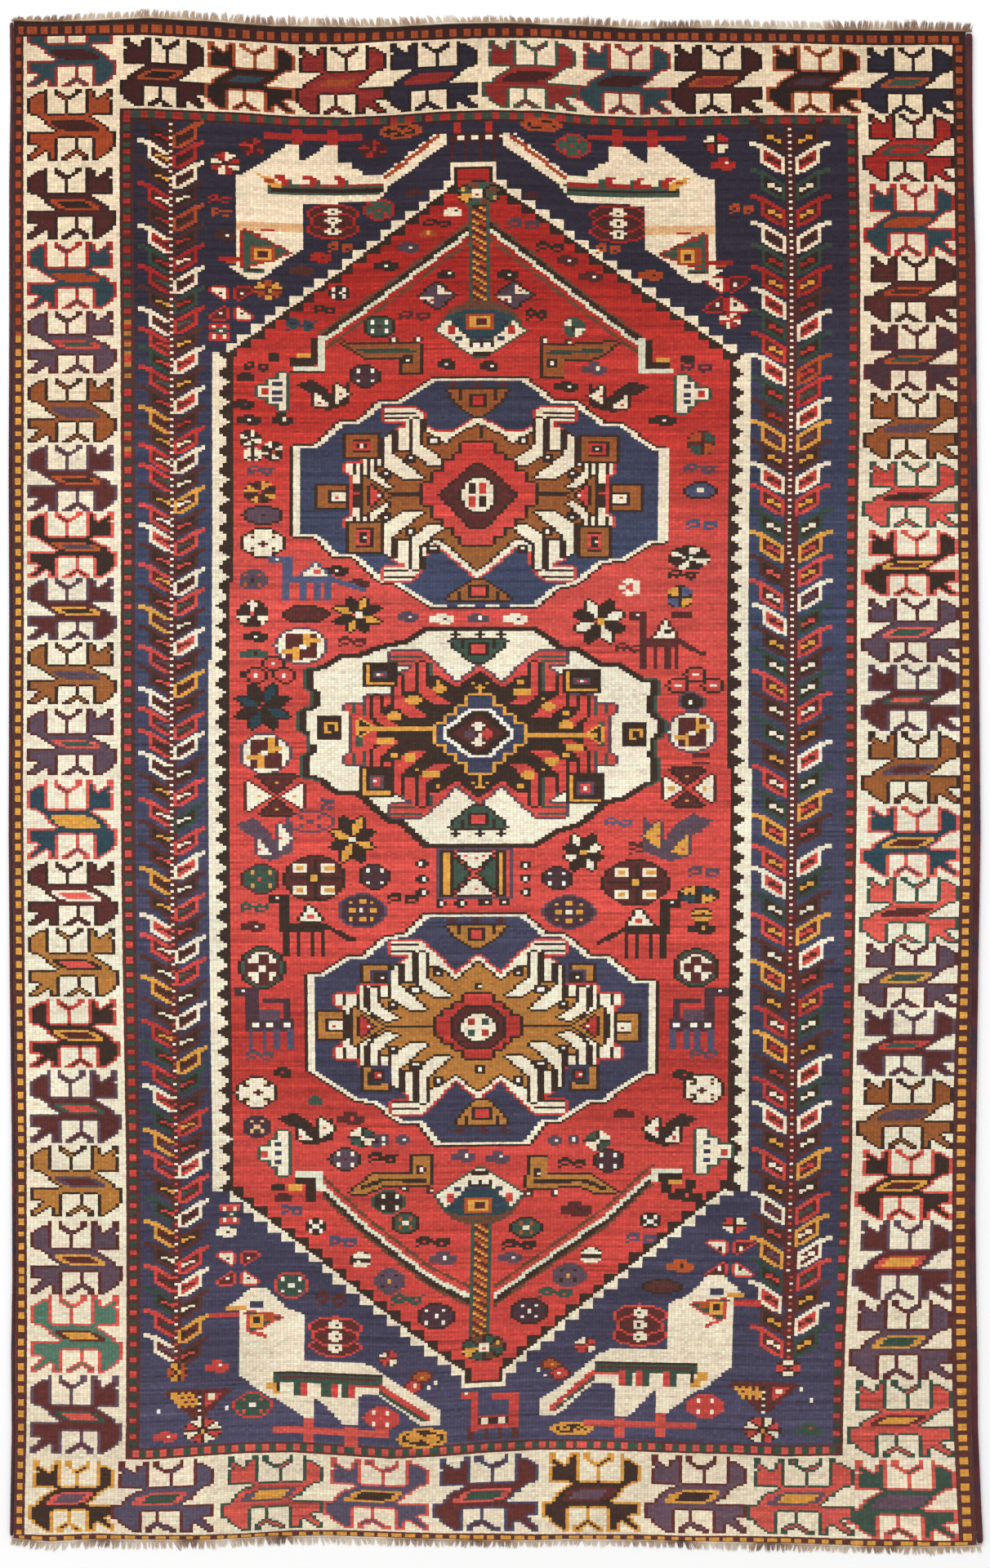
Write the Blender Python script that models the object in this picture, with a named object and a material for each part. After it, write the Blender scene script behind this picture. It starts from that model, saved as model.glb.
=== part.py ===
"""A hand-knotted tribal wool rug, lying flat, with its photo's uneven outline.

Run with: blender --background --python part.py

Frame: metres, +X across the rug, +Y towards the end that was woven last (the
picture's top), +Z up. The rug rests on z = 0 and its box is centred on X and Y.

Five pieces, as a weaver makes them: the knotted cloth, an overcast cord along
each long side, and at each end a woven end web whose warps hang out as fringe.
"""
import math
import random

import bmesh
import bpy
import numpy as np
from mathutils import Vector

# ---------------------------------------------------------------- sizes, metres
WIDTH = 1.551           # nominal, outside one side cord to outside the other
LENGTH = 2.427          # nominal, first row of knots to last row of knots
GAP = 0.0003            # air between neighbouring pieces

RUG_THICKNESS = 0.008   # foundation and pile together
PILE_ROUNDING = 0.0025  # the pile's rim is worn round
RIM_STEPS = 2           # facets on that rounding
END_POINTS = 96         # outline points along each end
SIDE_POINTS = 44        # steps along each long side, the cloth's and its cord's

LEFT_CORD = {"width": 0.0060, "height": 0.0060}
RIGHT_CORD = {"width": 0.0110, "height": 0.0075}

WEB_WIDTH = 0.0035      # the plain woven strip that the fringe grows from
WEB_HEIGHT = 0.0036
STRANDS = 145           # locks of warp ends in each fringe
STRAND_SHARE = 0.72     # how much of its pitch a lock fills at its root
STRAND_BEND = 0.55      # where along its length a lock bends
TIP_WIDTH_SHARE = 0.60  # tip width over root width
TIP_HEIGHT_SHARE = 0.55
LENGTH_JITTER = 0.16    # share of its length by which a lock may differ
LEAN_JITTER = 0.0012    # sideways, from lock to lock

# ------------------------------------------- the outline's waves, in millimetres
# How far the pile's end stands outside the nominal straight end.
# columns: millimetres across from the middle, millimetres outwards
TOP_WAVE = (
    (-776, 8), (-713, 6), (-647, 8), (-550, 12), (-498, 9), (-444, 6),
    (-358, -1), (-267, -2), (-211, -3), (-157, -2), (-69, 3), (21, 4),
    (126, 0), (236, -5), (362, -4), (519, -7), (650, -8), (776, -10),
)
BOTTOM_WAVE = (
    (-776, -4), (-711, 2), (-645, -2), (-550, -1), (-444, -1), (-372, -6),
    (-265, -8), (-211, -6), (-115, -3), (-24, -1), (62, 0), (115, -2),
    (236, -1), (342, 2), (466, 4), (544, 7), (596, 9), (701, 10), (776, 8),
)
# How far each long side stands outside the nominal straight side.
# columns: millimetres down from the top end, millimetres outwards
LEFT_WAVE = (
    (0, 0), (120, -1), (250, 1), (480, 1), (720, 2), (950, 1), (1300, 2),
    (1540, 0), (1780, -3), (2010, -4), (2130, -2), (2250, -3), (2427, 0),
)
RIGHT_WAVE = (
    (0, -7), (120, -7), (250, -5), (360, -2), (600, 0), (840, 2), (1070, 4),
    (1300, 6), (1540, 2), (1780, -1), (1900, -2), (2010, -1), (2130, 1),
    (2250, 2), (2370, 7), (2427, 10),
)
# How far the fringe reaches past the pile, and how far its tips lean to +X.
# columns: millimetres across, fringe length in millimetres, lean in millimetres
TOP_FRINGE = (
    (-776, 9, 1), (-700, 14, 3), (-550, 18, 3), (-400, 20, 2), (-200, 20, -2),
    (-60, 16, -3), (50, 15, 1), (150, 18, 2), (300, 17, 1), (520, 19, -2),
    (700, 20, 2), (776, 15, 5),
)
BOTTOM_FRINGE = (
    (-776, 17, -6), (-700, 19, -2), (-550, 20, 1), (-400, 18, 2), (-265, 19, 3),
    (-120, 17, 1), (0, 16, -1), (240, 16, 2), (360, 18, 3), (470, 17, -2),
    (600, 16, 1), (700, 18, 1), (776, 16, 4),
)

# ------------------------------------------------------------------ wool colours
WOOL = {
    # columns: red, green, blue (linear), roughness
    "knotted_wool": (0.165, 0.060, 0.050, 0.90),
    "overcast_wool": (0.070, 0.018, 0.022, 0.85),
    "warp_wool": (0.400, 0.290, 0.200, 0.90),
}


def wave(rows, place, column=1):
    """A smooth value between a table's rows, both in metres (Catmull-Rom)."""
    places = [row[0] / 1000 for row in rows]
    values = [row[column] / 1000 for row in rows]
    place = min(max(place, places[0]), places[-1])
    last = len(rows) - 1
    i = min(int(np.searchsorted(places, place, side="right")) - 1, last - 1)

    def slope(k):
        before, after = max(k - 1, 0), min(k + 1, last)
        return (values[after] - values[before]) / (places[after] - places[before])

    span = places[i + 1] - places[i]
    t = (place - places[i]) / span
    return ((2 * t**3 - 3 * t**2 + 1) * values[i]
            + (t**3 - 2 * t**2 + t) * span * slope(i)
            + (3 * t**2 - 2 * t**3) * values[i + 1]
            + (t**3 - t**2) * span * slope(i + 1))


def end_y(end, x):
    """The pile's end line at x; end is +1 for the top and -1 for the bottom."""
    rows = TOP_WAVE if end > 0 else BOTTOM_WAVE
    return end * (LENGTH / 2 + wave(rows, x))


def side_x(side, y):
    """The outside of the side cord at y; side is +1 for right, -1 for left."""
    rows = RIGHT_WAVE if side > 0 else LEFT_WAVE
    return side * (WIDTH / 2 + wave(rows, LENGTH / 2 - y))


def cord_size(side):
    return RIGHT_CORD if side > 0 else LEFT_CORD


def cloth_x(side, y):
    """The knotted cloth's own long side, just inside its cord."""
    return side_x(side, y) - side * (cord_size(side)["width"] + GAP)


def wool(name):
    material = bpy.data.materials.get(name)
    if material is None:
        red, green, blue, roughness = WOOL[name]
        material = bpy.data.materials.new(name)
        material.use_nodes = True
        shader = material.node_tree.nodes["Principled BSDF"]
        shader.inputs["Base Color"].default_value = (red, green, blue, 1)
        shader.inputs["Roughness"].default_value = roughness
    return material


def add_piece(name, data, material):
    piece = bpy.data.objects.new(name, data)
    piece.data.materials.append(wool(material))
    bpy.data.collections["persian_rug"].objects.link(piece)
    return piece


def poly_curve(name, points, cyclic, dimensions):
    curve = bpy.data.curves.new(name, "CURVE")
    curve.dimensions = dimensions
    spline = curve.splines.new("POLY")
    spline.points.add(len(points) - 1)
    for spot, (x, y) in zip(spline.points, points):
        spot.co = (x, y, 0, 1)
    spline.use_cyclic_u = cyclic
    return curve


def corner(end, side):
    """Where the cloth's end line meets its long side."""
    x = cloth_x(side, end * LENGTH / 2)
    return x, end_y(end, x)


def side_stations(side, end):
    """Y of each step along a long side, starting from the given end."""
    start, finish = corner(end, side)[1], corner(-end, side)[1]
    return [start + (finish - start) * k / SIDE_POINTS for k in range(SIDE_POINTS + 1)]


def cloth_outline():
    """Anticlockwise from the bottom left corner."""
    points = []
    for end, from_side in ((-1, -1), (1, 1)):
        start = corner(end, from_side)[0]
        finish = corner(end, -from_side)[0]
        for k in range(END_POINTS):
            x = start + (finish - start) * k / END_POINTS
            points.append((x, end_y(end, x)))
        points += [(cloth_x(-from_side, y), y) for y in side_stations(-from_side, end)[:-1]]
    return points


def rug_cloth():
    """One flat slab: the knotted pile on its foundation, its upper rim rounded."""
    curve = poly_curve("rug", cloth_outline(), True, "2D")
    curve.fill_mode = "BOTH"
    curve.extrude = RUG_THICKNESS / 2
    guide = bpy.data.objects.new("rug_outline", curve)
    bpy.context.scene.collection.objects.link(guide)
    guide.location.z = RUG_THICKNESS / 2
    bpy.context.view_layer.update()
    depsgraph = bpy.context.evaluated_depsgraph_get()
    mesh = bpy.data.meshes.new_from_object(guide.evaluated_get(depsgraph))
    mesh.transform(guide.matrix_world)
    bpy.data.objects.remove(guide)

    bm = bmesh.new()
    bm.from_mesh(mesh)
    bmesh.ops.remove_doubles(bm, verts=bm.verts, dist=0.0001)
    middle = RUG_THICKNESS / 2
    upper = [e for e in bm.edges if min(v.co.z for v in e.verts) > middle]
    rim = [e for e in upper if e.calc_face_angle(0) > math.radians(60)]
    bmesh.ops.bevel(bm, geom=rim, offset=PILE_ROUNDING, segments=RIM_STEPS,
                    profile=0.5, affect="EDGES", material=-1)
    bmesh.ops.recalc_face_normals(bm, faces=bm.faces)
    bm.to_mesh(mesh)
    bm.free()
    mesh.name = "rug"
    return add_piece("rug", mesh, "knotted_wool")


def cord_reach(end, side):
    """How far a cord runs towards an end and stays clear of the slanting web."""
    inside = corner(end, side)[0]
    outside = side_x(side, end * LENGTH / 2)
    return min(abs(end_y(end, x)) for x in (inside, outside)) - GAP


def side_cord(name, side):
    """The overcast edge: a bundle of warps wrapped with wool, a flattened tube."""
    size = cord_size(side)
    stations = side_stations(side, -1)
    stations[0], stations[-1] = (end * cord_reach(end, side) for end in (-1, 1))
    points = [(side_x(side, y) - side * size["width"] / 2, y) for y in stations]
    curve = poly_curve(name, points, False, "3D")
    curve.bevel_depth = size["width"] / 2
    curve.bevel_resolution = 2
    curve.use_fill_caps = True
    piece = add_piece(name, curve, "overcast_wool")
    piece.scale.z = size["height"] / size["width"]
    piece.location.z = size["height"] / 2
    return piece


def fringe_stations(end):
    """X of each cell boundary: a gap, a lock, a gap, a lock ... and a gap."""
    left = side_x(-1, end * LENGTH / 2)
    right = side_x(1, end * LENGTH / 2)
    pitch = (right - left) / STRANDS
    half_lock = pitch * STRAND_SHARE / 2
    stations = [left]
    for k in range(STRANDS):
        middle = left + pitch * (k + 0.5)
        stations += [middle - half_lock, middle + half_lock]
    return stations + [right]


def draw_out(bm, faces, end, share_from, share_to, rows, rng_values):
    """Pull each lock's end face outwards, narrower, lower and leaning."""
    drawn = bmesh.ops.extrude_discrete_faces(bm, faces=faces)["faces"]
    width_before = 1 + (TIP_WIDTH_SHARE - 1) * share_from
    width_after = 1 + (TIP_WIDTH_SHARE - 1) * share_to
    height_before = 1 + (TIP_HEIGHT_SHARE - 1) * share_from
    height_after = 1 + (TIP_HEIGHT_SHARE - 1) * share_to
    for face, (root_x, stretch, sway) in zip(drawn, rng_values):
        length = wave(rows, root_x) * stretch - WEB_WIDTH - GAP
        lean = wave(rows, root_x, column=2) + sway
        middle = face.calc_center_median().x
        step = share_to - share_from
        # the lean grows with the square of the reach, as a lock droops
        shift = Vector((lean * (share_to**2 - share_from**2), end * length * step, 0))
        for vert in face.verts:
            vert.co.x = middle + (vert.co.x - middle) * width_after / width_before
            vert.co.z *= height_after / height_before
            vert.co += shift
    return drawn


def fringe(name, end, rows, seed):
    """The end web and its locks, one body: every other cell's face is drawn out."""
    rng = random.Random(seed)
    stations = fringe_stations(end)
    cells = len(stations) - 1
    bm = bmesh.new()
    bmesh.ops.create_grid(bm, x_segments=cells, y_segments=1, size=0.5)
    for vert in bm.verts:
        x = stations[round((vert.co.x + 0.5) * cells)]
        inner = vert.co.y * end < 0
        y = end_y(end, x) + end * (GAP if inner else GAP + WEB_WIDTH)
        vert.co = (x, y, 0)
    raised = bmesh.ops.extrude_face_region(bm, geom=list(bm.faces))["geom"]
    lifted = [item for item in raised if isinstance(item, bmesh.types.BMVert)]
    bmesh.ops.translate(bm, verts=lifted, vec=(0, 0, WEB_HEIGHT))
    bmesh.ops.recalc_face_normals(bm, faces=bm.faces)

    def is_outer(face):
        return face.normal.y * end > 0.9 and abs(face.normal.z) < 0.1

    outer = sorted((f for f in bm.faces if is_outer(f)),
                   key=lambda f: f.calc_center_median().x)
    locks = outer[1::2]
    values = [(face.calc_center_median().x,
               1 + rng.uniform(-LENGTH_JITTER, LENGTH_JITTER),
               rng.uniform(-LEAN_JITTER, LEAN_JITTER)) for face in locks]
    bent = draw_out(bm, locks, end, 0, STRAND_BEND, rows, values)
    draw_out(bm, bent, end, STRAND_BEND, 1, rows, values)
    mesh = bpy.data.meshes.new(name)
    bm.to_mesh(mesh)
    bm.free()
    return add_piece(name, mesh, "warp_wool")


def centre_on_origin(pieces):
    """Move every piece together, so that their common box is centred on X and Y."""
    bpy.context.view_layer.update()
    corners = [p.matrix_world @ Vector(c) for p in pieces for c in p.bound_box]
    for axis in (0, 1):
        low = min(c[axis] for c in corners)
        high = max(c[axis] for c in corners)
        for piece in pieces:
            piece.location[axis] -= (low + high) / 2


def build():
    for old in list(bpy.data.objects):
        bpy.data.objects.remove(old, do_unlink=True)
    collection = bpy.data.collections.new("persian_rug")
    bpy.context.scene.collection.children.link(collection)
    pieces = [
        rug_cloth(),
        side_cord("selvedge_left", -1),
        side_cord("selvedge_right", 1),
        fringe("fringe_top", 1, TOP_FRINGE, seed=11),
        fringe("fringe_bottom", -1, BOTTOM_FRINGE, seed=12),
    ]
    centre_on_origin(pieces)


build()
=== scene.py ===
"""Looks of a hand-knotted tribal wool rug, lying flat on a pale floor.

The cloth is made the way a weaver makes it. A chart of knots is drawn first: the
guard bands, the border figures, the stepped field, the medallions, birds and small
fillers. Each knot of the chart is then one face of cut pile in its own yarn, and the
chart's rows and columns are bent to the uneven lines that the rug was woven on.

Places on the chart are (column, row) in knots, counted from the inner line of the
left guard and from the first row at the top. Letters name yarns, see YARNS.
"""

import math
import random

import bmesh
import bpy
import numpy as np
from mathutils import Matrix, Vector


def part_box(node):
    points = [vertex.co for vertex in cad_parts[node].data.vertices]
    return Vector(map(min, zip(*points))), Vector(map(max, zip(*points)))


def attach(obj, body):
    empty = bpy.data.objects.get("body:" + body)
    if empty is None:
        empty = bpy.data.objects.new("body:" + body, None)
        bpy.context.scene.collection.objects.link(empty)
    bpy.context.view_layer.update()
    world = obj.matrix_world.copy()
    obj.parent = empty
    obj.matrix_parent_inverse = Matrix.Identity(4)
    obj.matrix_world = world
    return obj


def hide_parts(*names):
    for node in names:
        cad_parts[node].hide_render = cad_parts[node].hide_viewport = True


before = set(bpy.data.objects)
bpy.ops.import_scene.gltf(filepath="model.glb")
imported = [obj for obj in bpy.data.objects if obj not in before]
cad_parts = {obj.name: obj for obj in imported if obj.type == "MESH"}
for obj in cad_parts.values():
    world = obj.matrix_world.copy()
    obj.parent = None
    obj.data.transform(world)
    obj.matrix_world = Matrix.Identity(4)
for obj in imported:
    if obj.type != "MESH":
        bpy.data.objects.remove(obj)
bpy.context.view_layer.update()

# ------------------------------------------------------------------ sizes, metres
PIXEL = 0.00131             # one pixel of the photograph on the rug
MM = PIXEL * 1000           # the same in millimetres
ORIGIN_PIXEL = (607.2, 958.7)   # the frame's origin in the photograph
PHOTO_SIZE = (1212, 1920)   # the photograph's own pixels, across and down

PILE_TOP = 0.0074           # mean height of the cut pile
PILE_FOOT = 0.0031          # the pile stands on the foundation
RIM_DROP = 0.0020           # the outermost knots lean out and down
RIM_SHARES = ((0, 1.0), (1, 0.35))  # lines of corners from the edge, share of the drop
KNOT_JITTER = 0.00042       # sideways, from knot to knot
PILE_JITTER = 0.00022       # in height, from knot to knot
STRIPS = 4                  # lengthwise pieces of pile
FOUNDATION_TOP = 0.0030
FOUNDATION_ROWS = 2         # rows of knots to one face of the underside

CORD_STEP = 0.0013          # half the pitch of the overcast wraps
CORD_RIDGE = 0.14           # depth of the grooves between the wraps, as a share
CORD_GAP = 0.0004           # from the pile's edge to the cord
CORD_END_GAP = 0.0020       # the wraps stop a little inside the solid cord
FRINGE_STRANDS = 1500       # loose warp ends at each end
STRAND_THICKNESS = 0.00085
STRAND_TAPER = ((0, 1.0), (0.3, 1.0), (0.55, 0.9), (0.8, 0.75), (1, 0.35))
WEB_GAP = 0.0003            # from the pile's edge to the end web
WEB_POINTS = 700            # points along an end web
EDGE_POINTS = 600           # places read along an end of the pile
SIDE_POINTS = 400           # places read along a side of the pile

# -------------------------------------------- the loom's lines in the photograph
COLUMNS, ROWS = 274, 684    # knots across and knots down
EDGE = 1                    # chart columns outside column 0
COLUMN_LINES = (-1, 3, 31, 241, 269, 273)
ROW_LINES = (0, 6, 39, 645, 681, 684)
MIDDLE_PIXEL, MIDDLE_ROW_PIXEL = 604, 958.5
TOP_PIXEL = 32
FIELD_TOP, FIELD_BOTTOM = 139.5, 1780.5
MEAN_ROW_PIXELS = (31.5, 48, FIELD_TOP, FIELD_BOTTOM, 1878.5, 1886.5)
WAVE_FADE = 80              # rows over which an end's wave dies out
MIDDLE_ROW = 340            # rows above it belong to the upper half's drawings

# How far the pile's edges stand outside the nominal rectangle, as in the solids.
# columns: millimetres across from the middle, millimetres outwards
TOP_WAVE = ((-776, 8), (-713, 6), (-647, 8), (-550, 12), (-498, 9), (-444, 6),
            (-358, -1), (-267, -2), (-211, -3), (-157, -2), (-69, 3), (21, 4),
            (126, 0), (236, -5), (362, -4), (519, -7), (650, -8), (776, -10))
BOTTOM_WAVE = ((-776, -4), (-711, 2), (-645, -2), (-550, -1), (-444, -1), (-372, -6),
               (-265, -8), (-211, -6), (-115, -3), (-24, -1), (62, 0), (115, -2),
               (236, -1), (342, 2), (466, 4), (544, 7), (596, 9), (701, 10), (776, 8))
# columns: millimetres down from the top, millimetres outwards
LEFT_WAVE = ((0, 0), (120, -1), (250, 1), (480, 1), (720, 2), (950, 1), (1300, 2),
             (1540, 0), (1780, -3), (2010, -4), (2130, -2), (2250, -3), (2427, 0))
RIGHT_WAVE = ((0, -7), (120, -7), (250, -5), (360, -2), (600, 0), (840, 2), (1070, 4),
              (1300, 6), (1540, 2), (1780, -1), (1900, -2), (2010, -1), (2130, 1),
              (2250, 2), (2370, 7), (2427, 10))
NOMINAL_HALF = (775.5, 1213.5)      # millimetres
CORD_WIDTHS = (6.3, 11.3)           # left and right, with their gap

# Where the bands' lines run, read off the photograph in its pixels.
# columns: down; left guard, left border, right border, right guard
SIDE_LINES = (
    (30, 29, 147, 1048, 1165), (90, 29, 147, 1049, 1166), (200, 29, 146.5, 1051, 1168),
    (310, 29, 147, 1053, 1169.5), (420, 29.5, 148, 1053, 1171),
    (530, 29.5, 148, 1052, 1172), (640, 29, 148.5, 1050, 1172.5),
    (750, 29.5, 148, 1049, 1174), (860, 29, 148, 1049, 1174.5),
    (970, 28.5, 148, 1049, 1175), (1080, 29.5, 149, 1047.5, 1174.5),
    (1190, 30.5, 150.5, 1046, 1172), (1300, 32, 152.5, 1044, 1168),
    (1410, 33, 154.5, 1043, 1166), (1520, 33, 155, 1040, 1165),
    (1630, 33.5, 155, 1035, 1164.5), (1740, 33, 154.5, 1032, 1166.5),
    (1850, 30.5, 153, 1031, 1172), (1890, 30, 153, 1031, 1174),
)
# columns: across; top guard, top border, bottom border, bottom guard
END_LINES = (
    (12, 46, 134, 1784, 1878), (60, 45, 134, 1785, 1879), (120, 44, 133, 1786, 1877),
    (180, 43.5, 133, 1787, 1879), (240, 47, 136, 1783, 1879),
    (300, 51, 138.5, 1779, 1877), (360, 55, 143, 1778, 1873), (420, 55, 144, 1782, 1873),
    (480, 51, 141.5, 1786, 1875), (540, 49, 137, 1783, 1877), (600, 47, 135, 1778, 1877),
    (660, 47, 136, 1775, 1878), (720, 50, 141.5, 1775, 1878), (780, 52, 144, 1777, 1878),
    (840, 52, 143, 1779, 1880), (900, 53.5, 142, 1780.5, 1880),
    (960, 53, 141, 1783, 1881), (1020, 55, 141.5, 1782, 1883),
    (1080, 56, 142, 1781.5, 1884), (1140, 55.5, 143, 1781.5, 1886),
    (1190, 56, 143, 1781, 1886),
)

# ------------------------------------------------------------------------- yarns
YARNS = {
    "i": "#F5E8CE",     # undyed ivory
    "w": "#FBF3E2",     # brightest ivory, single knots
    "a": "#E6BA8A",     # ivory gone tan
    "k": "#3B2A22",     # brown black
    "n": "#41465F",     # indigo navy
    "r": "#D24C43",     # madder red
    "m": "#5A2C28",     # dark wine
    "d": "#55302A",     # dark red brown
    "v": "#5C4854",     # grey violet
    "p": "#4A3239",     # aubergine
    "s": "#545672",     # slate violet
    "u": "#B5562A",     # rust orange
    "y": "#E0A045",     # golden
    "b": "#9C5E30",     # ochre brown
    "o": "#B67A3A",     # ochre, the paler lot
    "f": "#37483D",     # dark leaf green
    "g": "#3F5447",     # leaf green
    "t": "#2E454F",     # teal
    "j": "#547A67",     # sea green
    "z": "#5B5268",     # blue violet
    "c": "#DC5A4E",     # coral
    "e": "#6A4634",     # faded green brown
    "h": "#E2E4CC",     # ivory with a green cast
}
# How the dye lots change down the rug. Light is the share of a yarn's light; paleness
# and blueness are how much of its green and blue a lot keeps.
# columns: row; madder light, paleness; indigo light, blueness; dark wools' light;
#          all the others' light, paleness
DYE_LOTS = (
    (0, 0.36, 0.66, 0.40, 0.60, 0.44, 0.88, 0.80),
    (38, 0.36, 0.66, 0.40, 0.60, 0.46, 0.90, 0.80),
    (44, 0.56, 0.38, 0.44, 0.60, 0.52, 0.92, 0.82),
    (110, 0.56, 0.32, 0.49, 0.60, 0.78, 0.93, 0.85),
    (135, 0.70, 0.46, 0.60, 0.68, 0.92, 0.94, 0.88),
    (150, 0.86, 0.62, 0.75, 0.76, 0.98, 0.95, 0.88),
    (172, 0.74, 0.50, 0.79, 0.86, 1.00, 0.95, 0.88),
    (195, 0.88, 0.66, 0.85, 0.92, 1.03, 0.96, 0.92),
    (240, 1.01, 1.12, 1.00, 1.06, 1.00, 1.00, 0.99),
    (275, 1.04, 1.12, 1.06, 1.06, 1.00, 1.03, 1.00),
    (310, 0.99, 0.98, 1.08, 0.84, 1.03, 1.03, 1.00),
    (345, 1.02, 0.98, 1.20, 0.80, 1.08, 1.05, 1.00),
    (395, 1.12, 1.04, 1.30, 0.80, 1.08, 1.05, 1.01),
    (425, 1.00, 0.92, 1.14, 0.78, 1.05, 1.05, 1.00),
    (450, 0.76, 0.72, 1.04, 0.78, 1.05, 1.05, 0.98),
    (478, 0.78, 0.74, 1.02, 0.76, 1.05, 1.05, 0.97),
    (505, 1.00, 0.95, 1.02, 0.76, 1.05, 1.04, 0.96),
    (545, 0.96, 0.90, 1.04, 0.75, 1.08, 1.03, 0.95),
    (590, 0.93, 0.90, 1.14, 0.72, 1.14, 0.99, 0.93),
    (626, 0.90, 0.98, 1.48, 0.72, 1.26, 0.97, 0.92),
    (684, 0.88, 1.10, 1.50, 0.78, 1.32, 0.97, 0.91),
)

# ------------------------------------------------- drawing on the weaver's chart
chart = np.full((ROWS, COLUMNS), "i")
weaver = random.Random(4)       # small unevennesses of the hand, the same each run
FOUR_WAYS = ((-1, -1), (-1, 1), (1, -1), (1, 1))    # across and down to the corners


def near(value):
    """The nearest whole knot."""
    return math.floor(value + 0.5)


def window(c0, c1, r0, r1):
    """The chart's cells from column c0 to c1 and row r0 to r1, kept on the cloth."""
    rows = slice(max(0, near(r0)), max(0, near(r1)))
    columns = slice(max(0, near(c0) + EDGE), max(0, near(c1) + EDGE))
    return rows, columns


def block(c0, c1, r0, r1, yarn):
    """A rectangle of one yarn, from column c0 to c1 and row r0 to r1."""
    chart[window(c0, c1, r0, r1)] = yarn


def blocks(boxes):
    """Blocks in turn, each with its own yarn."""
    for box in boxes:
        block(*box)


def middle_of(c0, c1, r0, r1):
    """The middle, width and height of a box on the chart."""
    return (c0 + c1) / 2, (r0 + r1) / 2, c1 - c0, r1 - r0


def inside(points):
    """True for each knot whose middle lies within a closed outline."""
    mask = np.zeros(chart.shape, bool)
    rows, columns = window(min(c for c, r in points) - 1, max(c for c, r in points) + 1,
                           min(r for c, r in points) - 1, max(r for c, r in points) + 1)
    c = np.arange(COLUMNS)[columns] - EDGE + 0.5
    r = np.arange(ROWS)[rows, None] + 0.5
    found = np.zeros(mask[rows, columns].shape, bool)
    for (c0, r0), (c1, r1) in zip(points, (*points[1:], points[0])):
        if r0 != r1:
            spans = (r0 > r) != (r1 > r)
            found ^= spans & (c < c0 + (r - r0) * (c1 - c0) / (r1 - r0))
    mask[rows, columns] = found
    return mask


def grow(mask):
    """The mask and one more knot on every side."""
    wide = mask.copy()
    wide[1:] |= mask[:-1]
    wide[:-1] |= mask[1:]
    wide[:, 1:] |= mask[:, :-1]
    wide[:, :-1] |= mask[:, 1:]
    return wide


def area(points, yarn, edge=None):
    """Fill an outline with one yarn, with one knot of edge yarn round it."""
    mask = inside(points)
    if edge:
        chart[grow(mask)] = edge
    chart[mask] = yarn


def stroke(points, yarn, wide=1.0, tall=1.0):
    """A line of knots through the points, wide columns by tall rows."""
    for (c0, r0), (c1, r1) in zip(points, points[1:]):
        steps = max(1, round(2 * max(abs(c1 - c0), abs(r1 - r0))))
        for k in range(steps + 1):
            c = c0 + (c1 - c0) * k / steps
            r = r0 + (r1 - r0) * k / steps
            block(c - wide / 2, c + wide / 2, r - tall / 2, r + tall / 2, yarn)


def dots(places, yarn, wide=1, tall=1):
    """A small block round each place."""
    for c, r in places:
        block(c - wide / 2, c + wide / 2, r - tall / 2, r + tall / 2, yarn)


def stamp(rows, c, r, yarns, flip="", wide=None, tall=None):
    """Lay a chart given as rows of marks with its middle at column c, row r. Digit n is yarns[n -
    1].
    """
    grid = np.array([list(row) for row in rows])
    if "x" in flip:
        grid = grid[:, ::-1]
    if "y" in flip:
        grid = grid[::-1]
    tall = near(tall or grid.shape[0])
    wide = near(wide or grid.shape[1])
    left = near(c - wide / 2)
    top = near(r - tall / 2)
    for row in range(tall):
        for column in range(wide):
            mark = grid[row * grid.shape[0] // tall, column * grid.shape[1] // wide]
            if mark != ".":
                block(left + column, left + column + 1, top + row, top + row + 1,
                      yarns[int(mark) - 1])


def oval(c, r, wide, tall, yarn, edge=None):
    """A filled oval of knots."""
    turns = [math.tau * k / 24 for k in range(24)]
    area([(c + wide / 2 * math.cos(a), r + tall / 2 * math.sin(a)) for a in turns],
         yarn, edge)


def rosette(c, r, wide, tall, petals, yarns, edge, hub, turn=0.0):
    """A round flower whose petals take the yarns in turn, parted by the edge yarn."""
    oval(c, r, wide, tall, edge)
    for row in range(near(r - tall / 2), near(r + tall / 2)):
        for column in range(near(c - wide / 2), near(c + wide / 2)):
            across = (column + 0.5 - c) / (wide / 2)
            down = (row + 0.5 - r) / (tall / 2)
            reach = math.hypot(across, down)
            sector = (math.atan2(down, across) / math.tau * petals + turn) % petals
            gap = 0.13 if reach > 0.5 else 0.2
            if 0.25 < reach < 0.93 and gap < sector % 1 < 1 - gap:
                block(column, column + 1, row, row + 1, yarns[int(sector) % len(yarns)])
    dots([(c, r)], hub, 1, 2)


def four_dots(c, r, wide, tall, yarn, edge, dot, hub=None):
    """An oval flower with a bright knot in each quarter."""
    oval(c, r, wide, tall, yarn, edge)
    across, down = wide * 0.24, tall * 0.25
    dots([(c + x * across, r + y * down) for x, y in FOUR_WAYS], dot, 1, 1.6)
    if hub:
        dots([(c, r)], hub, 1.4, 1.6)


def checks(c0, c1, r0, r1, pitch, share, yarns, down=False):
    """A row of checks from one end of a band to the other; with down, a ladder."""
    at = r0 if down else c0
    end = r1 if down else c1
    k = 0
    while at < end - pitch * share * 0.6:
        stop = min(at + pitch * share, end)
        if down:
            block(c0, c1, at, stop, yarns[k % len(yarns)])
        else:
            block(at, stop, r0, r1, yarns[k % len(yarns)])
        at += pitch + weaver.uniform(-0.12, 0.12) * pitch
        k += 1
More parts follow.
